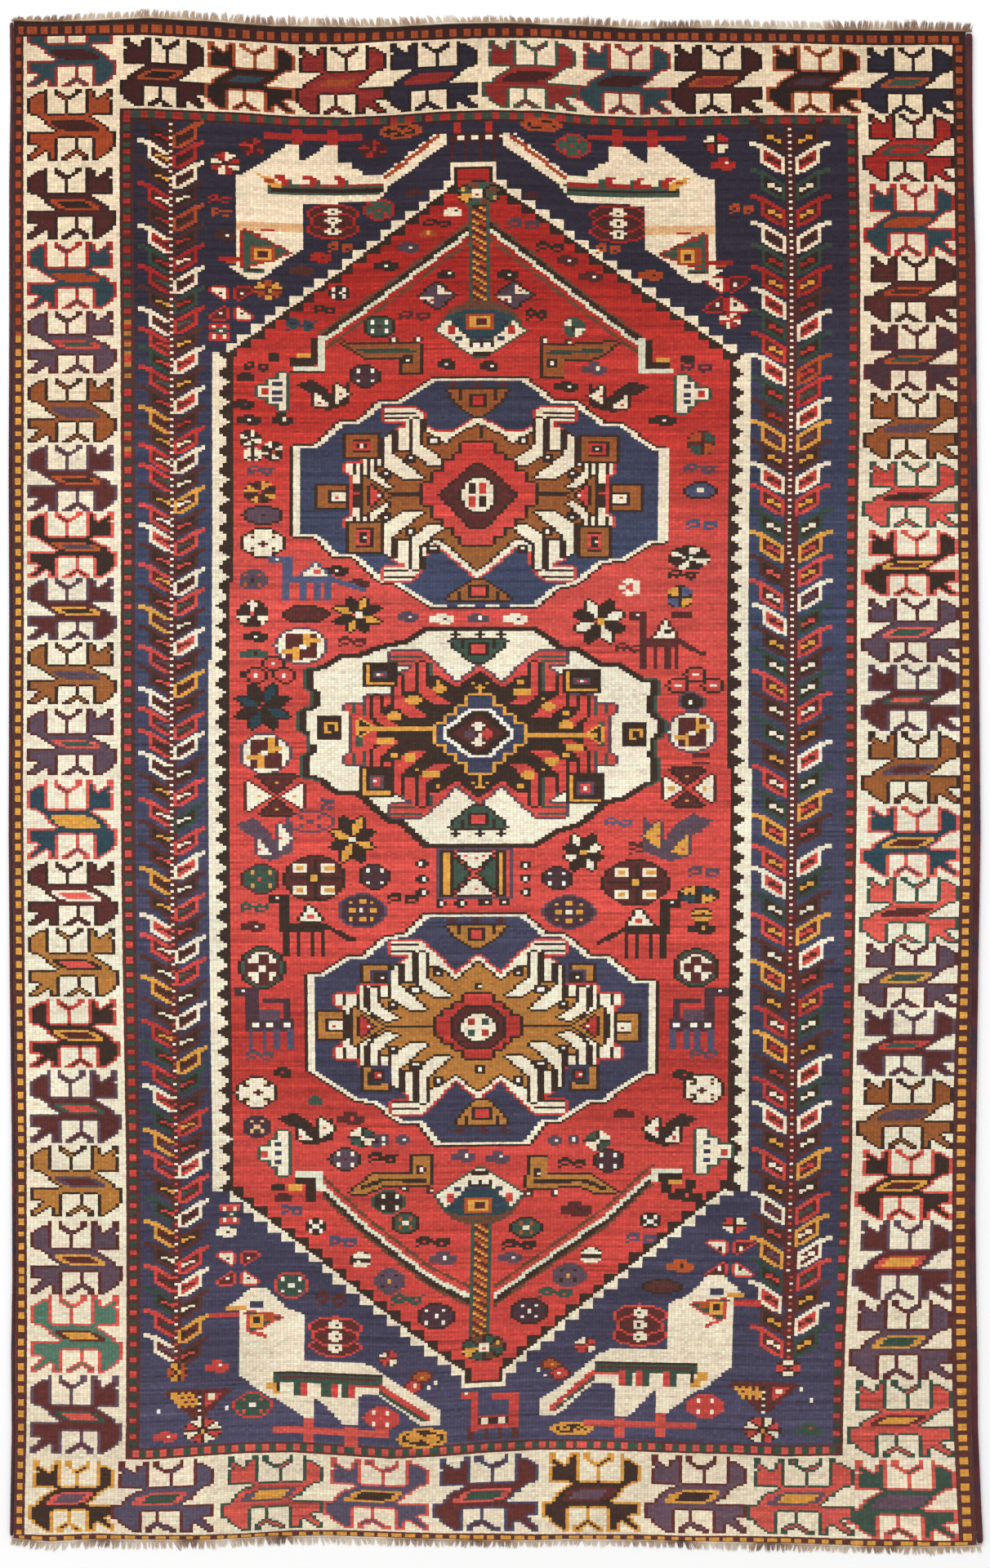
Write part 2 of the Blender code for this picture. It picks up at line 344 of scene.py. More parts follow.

# ------------------------------------------------------------ the border figures
# The animal figure of the wide border, as a chart. 1 is its body, 2 and 3 the
# bar in its middle, and . the ivory ground. Its rim takes the outline yarn.
BORDER_FIGURE = (
    ".....1..1.....11.11....11.",
    "...111..11....11.111...11.",
    "..1111..111..11..111..111.",
    ".11111...11111...111.1111.",
    "111111....111....1111111..",
    "111111.....1.....11111111.",
    "111111.....1.....11111111.",
    "111111.....1.....11111111.",
    "111111.....1.....11111111.",
    "111111.....1.....11111111.",
    "111111.....1.....11111111.",
    ".111111111111111111111111.",
    "...1111111111111111.......",
    "....1111111111111111......",
    ".....1122222222221111.....",
    ".....11223333333322111....",
    "......11223333333322111...",
    ".......11223333333322111..",
    "........1112222222222111..",
    "11111111111111111111111111",
    "11111111111111111111111111",
    "11111111111111111111111111",
    "111111111.....1....1111111",
    "111111111.....1....1111111",
    "111111111.....1....1111111",
    "...111111.....1....1111111",
    "..1111111.....1....111111.",
    "..1111111....111...111111.",
    ".1111.111...11111..11111..",
    "1111..111..111.111.1111...",
    "111...111.111...11.111....",
    "11....111.11....11.11.....",
)
# Up the left side and up the right side.
# columns: first row, last row, yarns of body, rim, bar and the bar's middle
LEFT_BORDER = (
    (-2, 29, "tcmm"), (30, 62, "ukmm"), (65, 97, "mkuk"), (98, 128, "tcuu"),
    (129, 157, "vmcg"), (159, 188, "bkvv"), (189, 219, "mvuk"), (219, 249, "kcuv"),
    (249, 277, "mvyk"), (278, 306, "bkvv"), (308, 338, "vmcg"), (340, 376, "tcyy"),
    (377, 406, "mkic"), (407, 438, "okkc"), (439, 470, "kcym"), (471, 504, "mvgc"),
    (505, 537, "okvm"), (539, 572, "vmym"), (572, 607, "jcmy"), (608, 643, "mvgc"),
)
RIGHT_BORDER = (
    (38, 69, "rkgr"), (70, 103, "tcuu"), (103, 133, "mkum"), (134, 164, "pmug"),
    (165, 195, "bkvv"), (196, 226, "cgmk"), (227, 257, "kcym"), (258, 287, "vmcg"),
    (288, 318, "mvgc"), (318, 351, "bkvm"), (352, 384, "tcym"), (384, 414, "cgmm"),
    (414, 443, "vmyg"), (444, 474, "mvcg"), (475, 507, "bkvv"), (507, 539, "kcym"),
    (539, 575, "mvcy"), (575, 611, "vmyg"), (611, 646, "cgmy"), (647, 681, "gcvv"),
)
# Along the top and along the bottom.
# columns: first column, last column, yarns
TOP_BORDER = (
    (31, 55, "mkuk"), (55.5, 81, "kumt"), (81.5, 107, "rkcu"), (107.5, 133, "nkrr"),
    (133.5, 160.5, "rgmm"), (161, 187.5, "tcmm"), (188, 214, "mkuc"),
    (214.5, 241.5, "kumv"), (242, 268.5, "nkug"),
)
BOTTOM_BORDER = (
    (4, 28, "kycv"), (27.5, 57, "zmcg"), (59, 88.5, "cgvy"), (89.5, 120, "zcyk"),
    (121.5, 152, "mncg"), (153, 182, "kymv"), (182.5, 212.5, "vmyk"), (213, 243.5, "cgvy"),
)


def border_figure(c0, c1, r0, r1, yarns, flip=""):
    """The border's figure stretched over a box, with its rim laid one knot wide."""
    body, rim, bar, middle = yarns
    stamp(BORDER_FIGURE, (c0 + c1) / 2, (r0 + r1) / 2, "123", flip, c1 - c0, r1 - r0)
    figure = np.isin(chart, list("123"))
    ground = grow(~figure) & figure
    chart[chart == "1"] = body
    chart[chart == "2"] = bar
    chart[chart == "3"] = middle
    chart[ground] = rim


def borders():
    """The border's figures on all four sides."""
    for r0, r1, yarns in LEFT_BORDER:
        border_figure(4, 30, r0, r1, yarns)
    for r0, r1, yarns in RIGHT_BORDER:
        border_figure(242, 268.5, r0, r1, yarns, "x")
    for c0, c1, yarns in TOP_BORDER:
        border_figure(c0, c1, 7, 38.4, yarns, "x")
    for c0, c1, yarns in BOTTOM_BORDER:
        border_figure(c0, c1, 646, 680.4, yarns, "x")


def guard_bands():
    """The narrow outer band, and the checked line between border and field."""
    block(-1, 273, 0, 6, "d")
    block(-1, 273, 0, 1, "k")
    checks(1, 271, 2, 5, 3.65, 0.6, "u")
    block(-1, 273, 681, 684, "d")
    checks(1, 271, 682, 684, 4.15, 0.6, "y")
    for c0, c1 in ((-1, 3), (269, 273)):
        block(c0, c1, 6, 681, "d")
        turn = 140 if c0 < 0 else 215
        checks(c0 + 1, c1 - 1, 6, turn, 5.3, 0.55, "u", down=True)
        checks(c0 + 1, c1 - 1, turn, 681, 5.3, 0.55, "y", down=True)
    block(31, 241, 39, 645, "d")
    checks(32, 34, 43, 641, 3.45, 0.66, "rf", down=True)
    checks(238, 240, 43, 641, 3.9, 0.6, "rf", down=True)
    checks(32, 240, 40, 43, 2.4, 1.0, "rf")
    checks(33, 240, 641, 644, 2.1, 1.0, "cg")
    for r in (134, 139, 144, 148, 153, 158, 184, 191):
        block(32, 34, r - 1, r + 1, "o")
    block(35, 237.6, 44, 640, "n")


# ------------------------------------------------------- from the chart to the rug
def table_lines(table, at):
    """Each value column of a table, at the given places in its first column."""
    places = [row[0] for row in table]
    return [np.interp(at, places, values) for values in list(zip(*table))[1:]]


def between(lines, marks, at):
    """Places on the chart turned to pixels, between the marked lines either side."""
    lines = np.stack(lines, -1)
    marks = np.array(marks, float)
    k = np.clip(np.searchsorted(marks, at, side="right") - 1, 0, len(marks) - 2)
    share = (at - marks[k]) / (marks[k + 1] - marks[k])
    before = np.take_along_axis(lines, k[..., None], -1)[..., 0]
    after = np.take_along_axis(lines, k[..., None] + 1, -1)[..., 0]
    return before + (after - before) * share


def knot_place(c, r):
    """Where places on the chart lie on the rug, in metres, found in three passes."""
    c, r = np.broadcast_arrays(np.asarray(c, float), np.asarray(r, float))
    y = np.interp(r, ROW_LINES, MEAN_ROW_PIXELS)
    for _ in range(3):
        down = (y - TOP_PIXEL) * MM
        left = NOMINAL_HALF[0] + table_lines(LEFT_WAVE, down)[0] - CORD_WIDTHS[0]
        right = NOMINAL_HALF[0] + table_lines(RIGHT_WAVE, down)[0] - CORD_WIDTHS[1]
        sides = [MIDDLE_PIXEL - left / MM, *table_lines(SIDE_LINES, y),
                 MIDDLE_PIXEL + right / MM]
        x = between(sides, COLUMN_LINES, c)
        across = (x - MIDDLE_PIXEL) * MM
        top = NOMINAL_HALF[1] + table_lines(TOP_WAVE, across)[0]
        bottom = NOMINAL_HALF[1] + table_lines(BOTTOM_WAVE, across)[0]
        top_guard, field_top, field_bottom, bottom_guard = table_lines(END_LINES, x)
        ends = [MIDDLE_ROW_PIXEL - top / MM, top_guard, field_top, field_bottom,
                bottom_guard, MIDDLE_ROW_PIXEL + bottom / MM]
        top_row, bottom_row = ROW_LINES[2:4]
        share = (r - top_row) / (bottom_row - top_row)
        field = (FIELD_TOP + (FIELD_BOTTOM - FIELD_TOP) * share
                 + (field_top - FIELD_TOP) * np.exp(-(r - top_row) / WAVE_FADE)
                 + (field_bottom - FIELD_BOTTOM) * np.exp(-(bottom_row - r) / WAVE_FADE))
        in_field = (r >= top_row) & (r < bottom_row)
        y = np.where(in_field, field, between(ends, ROW_LINES, r))
    return (x - ORIGIN_PIXEL[0]) * PIXEL, (ORIGIN_PIXEL[1] - y) * PIXEL


# -------------------------------------------------------- the stepped hexagon field
HEXAGON = ((126.5, 71), (60.8, 148), (60.8, 525.5), (129.8, 608), (141, 608),
           (206.7, 522), (206, 148.5), (137.5, 71))
STEPS = 18              # steps on each slanting side
TOOTH = 8.76            # rows from one side tooth to the next
FIRST_TOOTH = 152       # row of a tooth's tip
# Where the ivory side bands and their teeth run.
# columns: row; ivory edge, tooth tip, red edge on the left; and on the right
SIDE_BANDS = (
    (250, 57.2, 58.5, 62.5, 204, 208, 209.5),
    (310, 56, 57.6, 61.5, 204.2, 208.6, 210.2), (400, 56, 57.8, 62, 205.3, 209.6, 211.3),
    (528, 56, 58, 62.5, 205.5, 209.6, 211.3),
)


def stepped_slope(start, finish):
    """Ivory steps outside a slanting line and dark brown steps inside it."""
    (c0, r0), (c1, r1) = start, finish
    slope = (r1 - r0) / (c1 - c0)
    width = (c1 - c0) / STEPS
    outward = -1 if r0 < MIDDLE_ROW else 1
    for c in range(near(min(c0, c1)), near(max(c0, c1))):
        k = math.floor((c + 0.5 - c0) / width)
        line = r0 + (c + 0.5 - c0) * slope
        upper = r0 + k * width * slope
        lower = r0 + (k + 1) * width * slope
        if outward < 0:
            block(c, c + 1, upper - 0.9, line, "i")
            block(c, c + 1, line, lower + 1.2, "k")
        else:
            block(c, c + 1, line, upper + 0.9, "i")
            block(c, c + 1, lower - 1.2, line, "k")


def toothed_side(r0, r1):
    """The field's toothed lines to the left and right of the red, row by row."""
    for r in range(r0, r1):
        place = (r + 0.5 - FIRST_TOOTH) / TOOTH
        share = abs((place - math.floor(place)) * 2 - 1)
        edge, tip, red, right_red, right_tip, right_edge = (
            float(v) for v in table_lines(SIDE_BANDS, r))
        left = tip + (red - 0.8 - tip) * share
        block(edge, left, r, r + 1, "i")
        block(left, red, r, r + 1, "k")
        right = right_tip + (right_red + 0.8 - right_tip) * share
        block(right_red, right, r, r + 1, "k")
        block(right, right_edge, r, r + 1, "i")


def hexagon():
    """The red field with its stepped ends, toothed sides and small caps."""
    area(HEXAGON, "r")
    for start, finish in ((HEXAGON[0], HEXAGON[1]), (HEXAGON[7], HEXAGON[6]),
                          (HEXAGON[3], HEXAGON[2]), (HEXAGON[4], HEXAGON[5])):
        stepped_slope(start, finish)
    toothed_side(147, 526)
    # the small square caps at the hexagon's points
    blocks(((125, 138, 62, 71, "i"), (126, 137, 63.5, 73, "k"), (127, 136, 65, 74, "r"),
            (129, 142, 607, 614, "i"), (130, 141, 606, 612.5, "k"),
            (131.5, 139.5, 604, 611.5, "r")))


# The narrow line that turns round the medallions, with its dark green shadow.
CHEVRONS = (
    ((130.5, 93), (90, 139.5), (87.5, 142)), ((136, 92.5), (176.5, 141), (178.5, 143)),
    ((88, 524), (100, 541), (120, 565), (131, 574)), ((138, 574), (170, 538), (183, 519)),
)
# The hooks at its four ends.
# columns: from, to (across); from, to (down); yarn
CHEVRON_ENDS = (
    (85, 86.7, 140, 152, "k"), (79, 86, 149, 153, "k"), (86.5, 88.5, 139, 155, "h"),
    (80, 88, 152.5, 155, "h"), (79, 88.5, 155, 156, "k"),
    (80.5, 84.5, 147, 149, "y"), (72.5, 76, 147, 151, "k"), (180.3, 182, 141, 152, "k"),
    (180, 187, 150.5, 154, "k"), (177.5, 179.5, 140, 156, "h"), (178, 188, 154, 156.3, "h"),
    (183, 186.5, 148.5, 150.5, "y"), (190, 193.5, 148, 151, "k"), (80, 88, 517, 519.5, "h"),
    (86, 88.3, 517, 526, "h"), (80, 86, 519.5, 523, "k"), (82.5, 86, 519.5, 531, "k"),
    (78, 82, 523, 526, "y"), (73, 77, 523, 526, "k"), (184, 191.5, 515.5, 518, "h"),
    (182.5, 185, 515.5, 522, "h"), (185, 192, 518, 521.5, "k"), (186, 189, 521, 527, "k"),
    (188, 192, 520.5, 523, "y"), (192.5, 196, 521, 525, "k"),
)


def chevrons():
    """The broken lines that follow the field's four slopes."""
    for points in CHEVRONS:
        up = -1 if points[0][1] < MIDDLE_ROW else 1
        stroke([(c, r - 4.4 * up) for c, r in points], "e", 1, 1)
        stroke([(c, r + 4.2 * up) for c, r in points], "e", 1, 1)
        stroke([(c, r + 2.2 * up) for c, r in points], "k", 1, 2.2)
        stroke(points, "h", 1, 1.8)
    blocks(CHEVRON_ENDS)


def pole(c0, c1, r0, r1):
    """A post of slanting orange and dark stripes between two green lines."""
    block(c0 - 1, c1 + 1, r0, r1, "g")
    for r in range(r0, r1):
        for c in range(near(c0), near(c1)):
            stripe = (r - 0.9 * (c - c0)) / 3.6 % 1
            yarn = "u" if stripe < 0.35 else "y" if stripe < 0.55 else "m"
            block(c, c + 1, r, r + 1, yarn)


# The winged foot of each pole, drawn from its middle at the top; across, down.
WINGS = ((-12, 10), (-10, 6), (-8, 3), (-3, 0), (3, 0), (8, 3), (10, 6), (12, 10))
LOBES = ((-12.5, 13.5), (-9.5, 8), (-7.5, 11), (-3.5, 17.5), (0, 19), (3.5, 17.5),
         (8, 11), (9.5, 8.5), (12.5, 14), (3, 23.5), (1, 25.5), (-1, 25.5), (-3, 23.5))
HEART = ((-7.5, 9), (7.5, 9), (3.5, 15.5), (0, 17), (-3.5, 15.5))
UNDER_WINGS = ((-10, 7), (-4, 4), (4, 4), (10, 7), (9, 12), (0, 18), (-9, 12))
FOOT_BARS = (
    (-4, 4, 5.5, 13, "u"), (-3, 3, 6.5, 12, "y"), (-1.5, 1.5, 7.5, 10.5, "m"),
    (-9.5, -7, 11, 14.5, "r"), (7.5, 10, 11, 14.5, "r"), (-7.5, -5.5, 15.5, 17.5, "n"),
    (5, 7, 15.5, 17.5, "n"), (-3.5, 3.5, 18, 21, "k"), (-2.7, -0.7, 18.5, 20.5, "w"),
    (0.8, 2.7, 18.5, 20.5, "w"), (-2.5, 2.5, 22.5, 25, "k"),
)


def pole_foot(c, r, up):
    """up is 1 where the foot is under its pole, -1 where it is above."""
    for points, yarn, edge in ((WINGS, "e", None), (UNDER_WINGS, "t", None),
                               (LOBES, "i", "g"), (HEART, "t", "n")):
        area([(c + across, r + up * down) for across, down in points], yarn, edge)
    for c0, c1, r0, r1, yarn in FOOT_BARS:
        block(c + c0, c + c1, *sorted((r + up * r0, r + up * r1)), yarn)


def poles():
    """The poles between the medallions and the field's points."""
    pole(131.3, 134.8, 80, 124)
    rosette(133, 76, 13, 12, 8, "gegyge", "k", "i")
    block(131.2, 134.2, 74, 78, "i")
    dots([(132.7, 76)], "r", 1, 1)
    dots([(128.5, 73.5), (137.5, 78), (129.5, 78.5)], "y", 1.6, 2)
    pole_foot(133.3, 124, 1)
    pole(132.3, 136, 541, 592)
    rosette(135.3, 597, 13, 12, 8, "gegyge", "k", "i")
    block(134, 137, 595, 599, "i")
    dots([(135.5, 597)], "r", 1, 1)
    dots([(131, 600), (139.5, 594.5)], "y", 1.6, 2)
    pole_foot(133.3, 541.5, -1)


def gate():
    """The small gate on the hexagon's top point."""
    blocks(((126, 127.6, 43.5, 50, "r"), (135.3, 136.9, 43.5, 50, "r"),
            (125, 138.5, 49, 52.5, "m")))
    for c in (127, 131, 134.7):
        block(c, c + 1.8, 49.5, 52, "w")
    for c in (125, 129, 133, 136.8):
        block(c, c + 1.3, 52.5, 61.5, "m")


# ------------------------------------------------------------------ three medallions
# Outer edges of the ivory outlines.
FIRST_MEDALLION = (
    (120, 158.5), (146, 158.8), (155, 169.5), (161, 169.5), (168.5, 178.5), (173.5, 179),
    (183, 189.5), (186.5, 189.8), (186.5, 232.5), (183, 233), (180, 235), (174.5, 241),
    (168.5, 242), (161, 252), (156, 253.5), (149, 262.5), (120, 262.5), (109, 251.5),
    (105, 251), (97.5, 239.5), (92, 239.5), (86, 230), (80, 230), (80, 189), (86, 189),
    (93, 178.5), (98, 178), (104.5, 169), (110, 169), (118, 160),
)
SECOND_MEDALLION = (
    (104, 280.5), (98, 284), (94, 283.5), (89, 289), (84, 290.5), (84, 299), (86.5, 300),
    (86.5, 306), (82, 309.5), (81.5, 317), (85, 320.5), (85, 328), (83, 329), (83, 338.5),
    (87.5, 340), (92, 346), (98, 346), (107, 358.5), (110.5, 359), (117.5, 369.5),
    (150, 370), (156, 363.5), (163, 360), (170, 350), (175, 348.5), (181, 342),
    (184.5, 341), (184.5, 333), (183, 329), (183, 323), (186.5, 318), (186.5, 315),
    (183, 309), (183, 303), (184.5, 301), (184.5, 295.5), (180, 295), (174, 288.5),
    (168.5, 288), (162, 281.5), (157.5, 281), (150, 272), (117.5, 271.5), (111.5, 278),
    (107, 279),
)
THIRD_MEDALLION = (
    (84, 428), (88, 427.5), (95, 420), (100, 419.5), (106, 411), (111.5, 410),
    (117.5, 401.5), (146, 400.5), (152.5, 409.5), (158, 410), (166, 420.5), (171, 420.5),
    (179, 431.5), (183.7, 430.5), (183.7, 473), (181, 473), (172, 483), (170, 485.5),
    (165, 486), (157, 495), (152, 495.5), (147.5, 505.5), (121, 505.5), (115.5, 495),
    (110, 494.5), (102.5, 486), (97, 485), (86, 473), (84, 472),
)
# Star shapes inside the medallions, as one quarter: across and up from the middle.
HOOKED_ARMS = (
    (0, 33), (6.5, 24), (11, 31.5), (16.5, 39.5), (25, 39.5), (25, 33.5), (19.5, 33.5),
    (19.5, 31), (21, 30.5), (24.5, 26.5), (24.5, 18.5), (34.5, 18.5), (34.5, 14.5),
    (41.5, 14.5), (42, 11.5), (41, 9.5), (39, 9), (39, -0.5), (0, -0.5),
)
STAR_BODY = (
    (0, 29.4), (6.3, 21), (11.4, 26.6), (14.3, 27.4), (15, 23), (17, 19.5), (22, 19.8),
    (22.5, 18), (24.5, 13), (29, 12), (29.3, 11), (31.5, 8), (29, 3), (29, -0.5),
    (0, -0.5),
)
# The first medallion's own inner edges, above and below its middle, down to the hook.
FLAT_EDGE = ((0, 35.5), (6.7, 28.8), (11.7, 28.8), (14.6, 32), (14.8, 37.5), (16.5, 39.5))
FLAT_BODY = ((0, 31.6), (6.2, 26.3), (8.4, 22.4), (11.6, 25.6), (14.3, 28.4), (15, 23))
DEEP_EDGE = ((0, 38.5), (11.3, 22), (14, 27), (14.4, 33), (17.5, 39.5))
DEEP_BODY = ((0, 34.6), (9.6, 19.8), (12.4, 20.4), (15, 24), (15, 22.5))
STAR_STROKES = (
    ((17, 34.5), (15.2, 34.5), (15, 23), (8, 13.8), (13, 13.8), (17, 19)),
    ((24.5, 26.5), (22.8, 28.5), (22.5, 19), (14.5, 7.7), (19.5, 7.5), (24.5, 13)),
    ((31.5, 18), (29.4, 18), (29.2, 11), (23, 3.5), (26.5, 2.5), (31.5, 8)),
)
# columns: from, to (across); from, to (up)
ARM_BARS = (
    (38.2, 39.7, 9.5, 14.5), (34.7, 35.8, 8.5, 14.5), (31.7, 33, 8.5, 18.5),
    (28.1, 29.3, 13, 18.5), (24.8, 26, 12.5, 18.5), (21.3, 22.7, 20.5, 29.5),
    (17.3, 18.7, 19.5, 34.5), (13.7, 15, 28.5, 34.5), (16.5, 25, 36.8, 37.8),
    (18, 25, 34, 35), (36, 38.5, -0.5, 5.5),
)
STAR_EYES = ((11.7, 24.5), (18, 17), (24.5, 10))


class Quarters:
    """Draws a quarter shape four times round a medallion's middle.

    left and right are how far the hooks (25 across) and the arms (42 across) reach. Where
    up or down is 0, that half isn't drawn.
    """

    def __init__(self, c, r, left, right, up, down):
        self.middle = (c, r)
        self.ways = [(side, reach, scale) for scale in (-up, down) if scale
                     for side, reach in ((-1, left), (1, right))]

    def places(self, way, points):
        """One quarter's points on the chart."""
        (c, r), (side, reach, down) = self.middle, way
        return [(c + side * float(np.interp(u, (-1, 0, 25, 42), (-1, 0, *reach))),
                 r + v * down) for u, v in points]

    def mask(self, points):
        """The knots inside the outline, in every quarter that is drawn."""
        found = np.zeros(chart.shape, bool)
        for way in self.ways:
            found |= inside(self.places(way, points))
        return found

    def fill(self, points, yarn, edge=None):
        """The outline filled with one yarn, and edged with another."""
        mask = self.mask(points)
        if edge:
            chart[grow(mask)] = edge
        chart[mask] = yarn

    def bar(self, u0, u1, v0, v1, yarn):
        """A box from u0 to u1 outwards and v0 to v1 up or down."""
        self.fill(((u0, v0), (u1, v0), (u1, v1), (u0, v1)), yarn)

    def spot(self, u, v, yarn, wide=1, tall=1):
        """One small block in each quarter."""
        for way in self.ways:
            dots(self.places(way, [(u, v)]), yarn, wide, tall)


def outline(points, ground, line, shadow):
    """A medallion's ground within its bright outline and the dark line round that."""
    mask = inside(points)
    shape = grow(mask)
    chart[shape] = shadow
    chart[mask] = line
    inner = ~grow(~mask)
    thin = inner.copy()
    thin[:, 1:] &= inner[:, :-1]
    thin[:, :-1] &= inner[:, 1:]
    chart[thin & inner] = ground


def star(quarters, arms, body, bars, stroke_yarn, edge, arm_edge=(), body_edge=()):
    """The hooked arms of a medallion with the stepped body inside them."""
    hooked = (*arm_edge, *HOOKED_ARMS[4:]) if arm_edge else HOOKED_ARMS
    inner = (*body_edge, *STAR_BODY[5:]) if body_edge else STAR_BODY
    quarters.fill(hooked, arms, edge)
    for u0, u1, v0, v1 in ARM_BARS:
        quarters.bar(u0, u1, v0, v1, bars)
    quarters.fill(inner, body, "k")
    for points in STAR_STROKES:
        quarters.fill(points, stroke_yarn, "k")
    for u, v in STAR_EYES:
        quarters.spot(u, v, "k", 3.4, 4)
        quarters.spot(u, v, "w", 1.2, 1.4)


def arm_ends(c, r, left, right, yarn="b"):
    """The triangles at the star's left and right points, and the line between."""
    for side, scale in ((-1, left), (1, right)):
        tip = c + side * 27.5 * scale
        end = c + side * 36.5 * scale
        area(((end, r - 8.5), (end, r + 8.5), (tip, r)), yarn, "k")
        area(((end - side * 1.5, r - 5.5), (end - side * 1.5, r + 5.5),
              (tip + side * 3, r)), "r", "k")
        dots([(end - side * 4, r)], "w", 1, 1.6)
        start = c + side * 13 * scale
        block(min(start, tip), max(start, tip), r - 0.5, r + 0.5, "k")


def stepped_diamond(quarters, steps, yarn, edge):
    """A diamond of boxes with a dark edge of one knot."""
    mask = np.zeros(chart.shape, bool)
    for u, v in steps:
        mask |= quarters.mask(((-0.5, -0.5), (u, -0.5), (u, v), (-0.5, v)))
    chart[grow(mask)] = edge
    chart[mask] = yarn


def wheel(c, r, wide, tall, yarns):
    """An ivory ring with a quarter of each yarn in it, parted by an ivory cross."""
    oval(c, r, wide, tall, "i", "k")
    for k, yarn in enumerate(yarns):
        x, y = (-1, 1)[k % 2], (-1, 1)[k // 2]
        across = sorted((c + x * 0.6, c + x * wide * 0.3))
        down = sorted((r + y * 0.9, r + y * tall * 0.32))
        block(*across, *down, yarn)


def dotted_square(c0, c1, r0, r1, frame_yarn, ring, middle, dot):
    """A framed square of rings with one dot in its middle."""
    block(c0 - 1, c1 + 1, r0 - 1, r1 + 1, "k")
    block(c0, c1, r0, r1, frame_yarn)
    block(c0 + 1.6, c1 - 1.6, r0 + 2, r1 - 2, "k")
    block(c0 + 2.2, c1 - 2.2, r0 + 2.6, r1 - 2.6, ring)
    block(c0 + 3.3, c1 - 3.3, r0 + 4, r1 - 4, middle)
    dots([((c0 + c1) / 2, (r0 + r1) / 2)], dot, 1, 1.4)


def boat(c, r0, r1, half, up, body, crosses):
    """The little roof or boat at a medallion's end, with three crosses on its edge."""
    step = 1 if up else -1
    edge, tip = (r0, r1) if up else (r1, r0)
    flat = edge + 3.6 * step
    for k in (-1, 0, 1):
        at = c + k * half * 0.85
        block(at - 1.5, at + 1.5, edge + 1.5 * step - 0.5, edge + 1.5 * step + 0.5, crosses)
        rows = sorted((edge + 0.4 * step, flat))
        block(at - 0.5, at + 0.5, *rows, crosses)
    low = flat + (tip - flat) * 0.42
    area(((c - half, flat), (c + half, flat), (c + half * 0.8, low), (c + 1.5, tip),
          (c - 1.5, tip), (c - half * 0.8, low)), body, "k")
    middle = flat + (tip - flat) * 0.45
    block(c - 2.6, c + 2.6, middle - 2.8, middle + 2.8, "k")
    block(c - 1.6, c + 1.6, middle - 1.8, middle + 1.8, "r")
    for side in (-1, 1):
        at = c + side * half * 0.62
        rows = sorted((flat, low))
        block(at - 0.5, at + 0.5, *rows, "k")


def hook_square(c0, c1, r0, r1, side, body, flag):
    """The C-shaped square beside a star's point; side is -1 on the left."""
    block(c0 - 1, c1 + 1, r0 - 1, r1 + 1, "k")
    block(c0, c1, r0, r1, body)
    middle = (r0 + r1) / 2
    inner = c1 - 4 if side < 0 else c0
    block(inner - 0.8, inner + 4.8, middle - 3, middle + 3, "k")
    block(inner, inner + 4, middle - 2, middle + 2, flag)
    dots([(inner + 2, middle)], "r")


def first_medallion():
    """The upper medallion; its upper arms are cut flatter than its lower ones."""
    outline(FIRST_MEDALLION, "n", "i", "k")
    block(184, 186.5, 190, 232, "i")
    quarters = Quarters(132.7, 211.5, (27, 37.5), (27.5, 38.3), 1.0, 0.98)
    upper = Quarters(132.7, 211.5, (27, 37.5), (27.5, 38.3), 1.0, 0)
    lower = Quarters(132.7, 211.5, (27, 37.5), (27.5, 38.3), 0, 0.98)
    star(upper, "i", "b", "k", "i", "r", FLAT_EDGE, FLAT_BODY)
    star(lower, "i", "b", "k", "i", "r", DEEP_EDGE, DEEP_BODY)
    arm_ends(132.7, 211.5, 0.886, 0.91)
    stepped_diamond(quarters, ((14.4, 5), (12, 10.5), (9, 15), (6.5, 18.5), (4, 23)), "r", "k")
    area(((122, 211.5), (131, 198.5), (134.5, 198.5), (143.5, 211.5), (134.5, 226.5),
          (131, 226.5)), "m", "k")
    wheel(132.7, 211.5, 9, 16, "krrk")
    for box in ((95, 104, 184, 194), (162, 171.5, 185, 196), (96, 104.5, 224, 237),
                (162, 170, 226, 239)):
        dotted_square(*box, "b", "r", "k", "i")
    block(133, 134, 180.5, 186, "k")
    hook_square(87, 94.5, 207, 217, -1, "b", "i")
    hook_square(171, 179, 207, 218, 1, "b", "i")
    boat(132.5, 160, 176, 8.3, True, "b", "m")
    boat(133, 250, 262.5, 9, False, "b", "n")


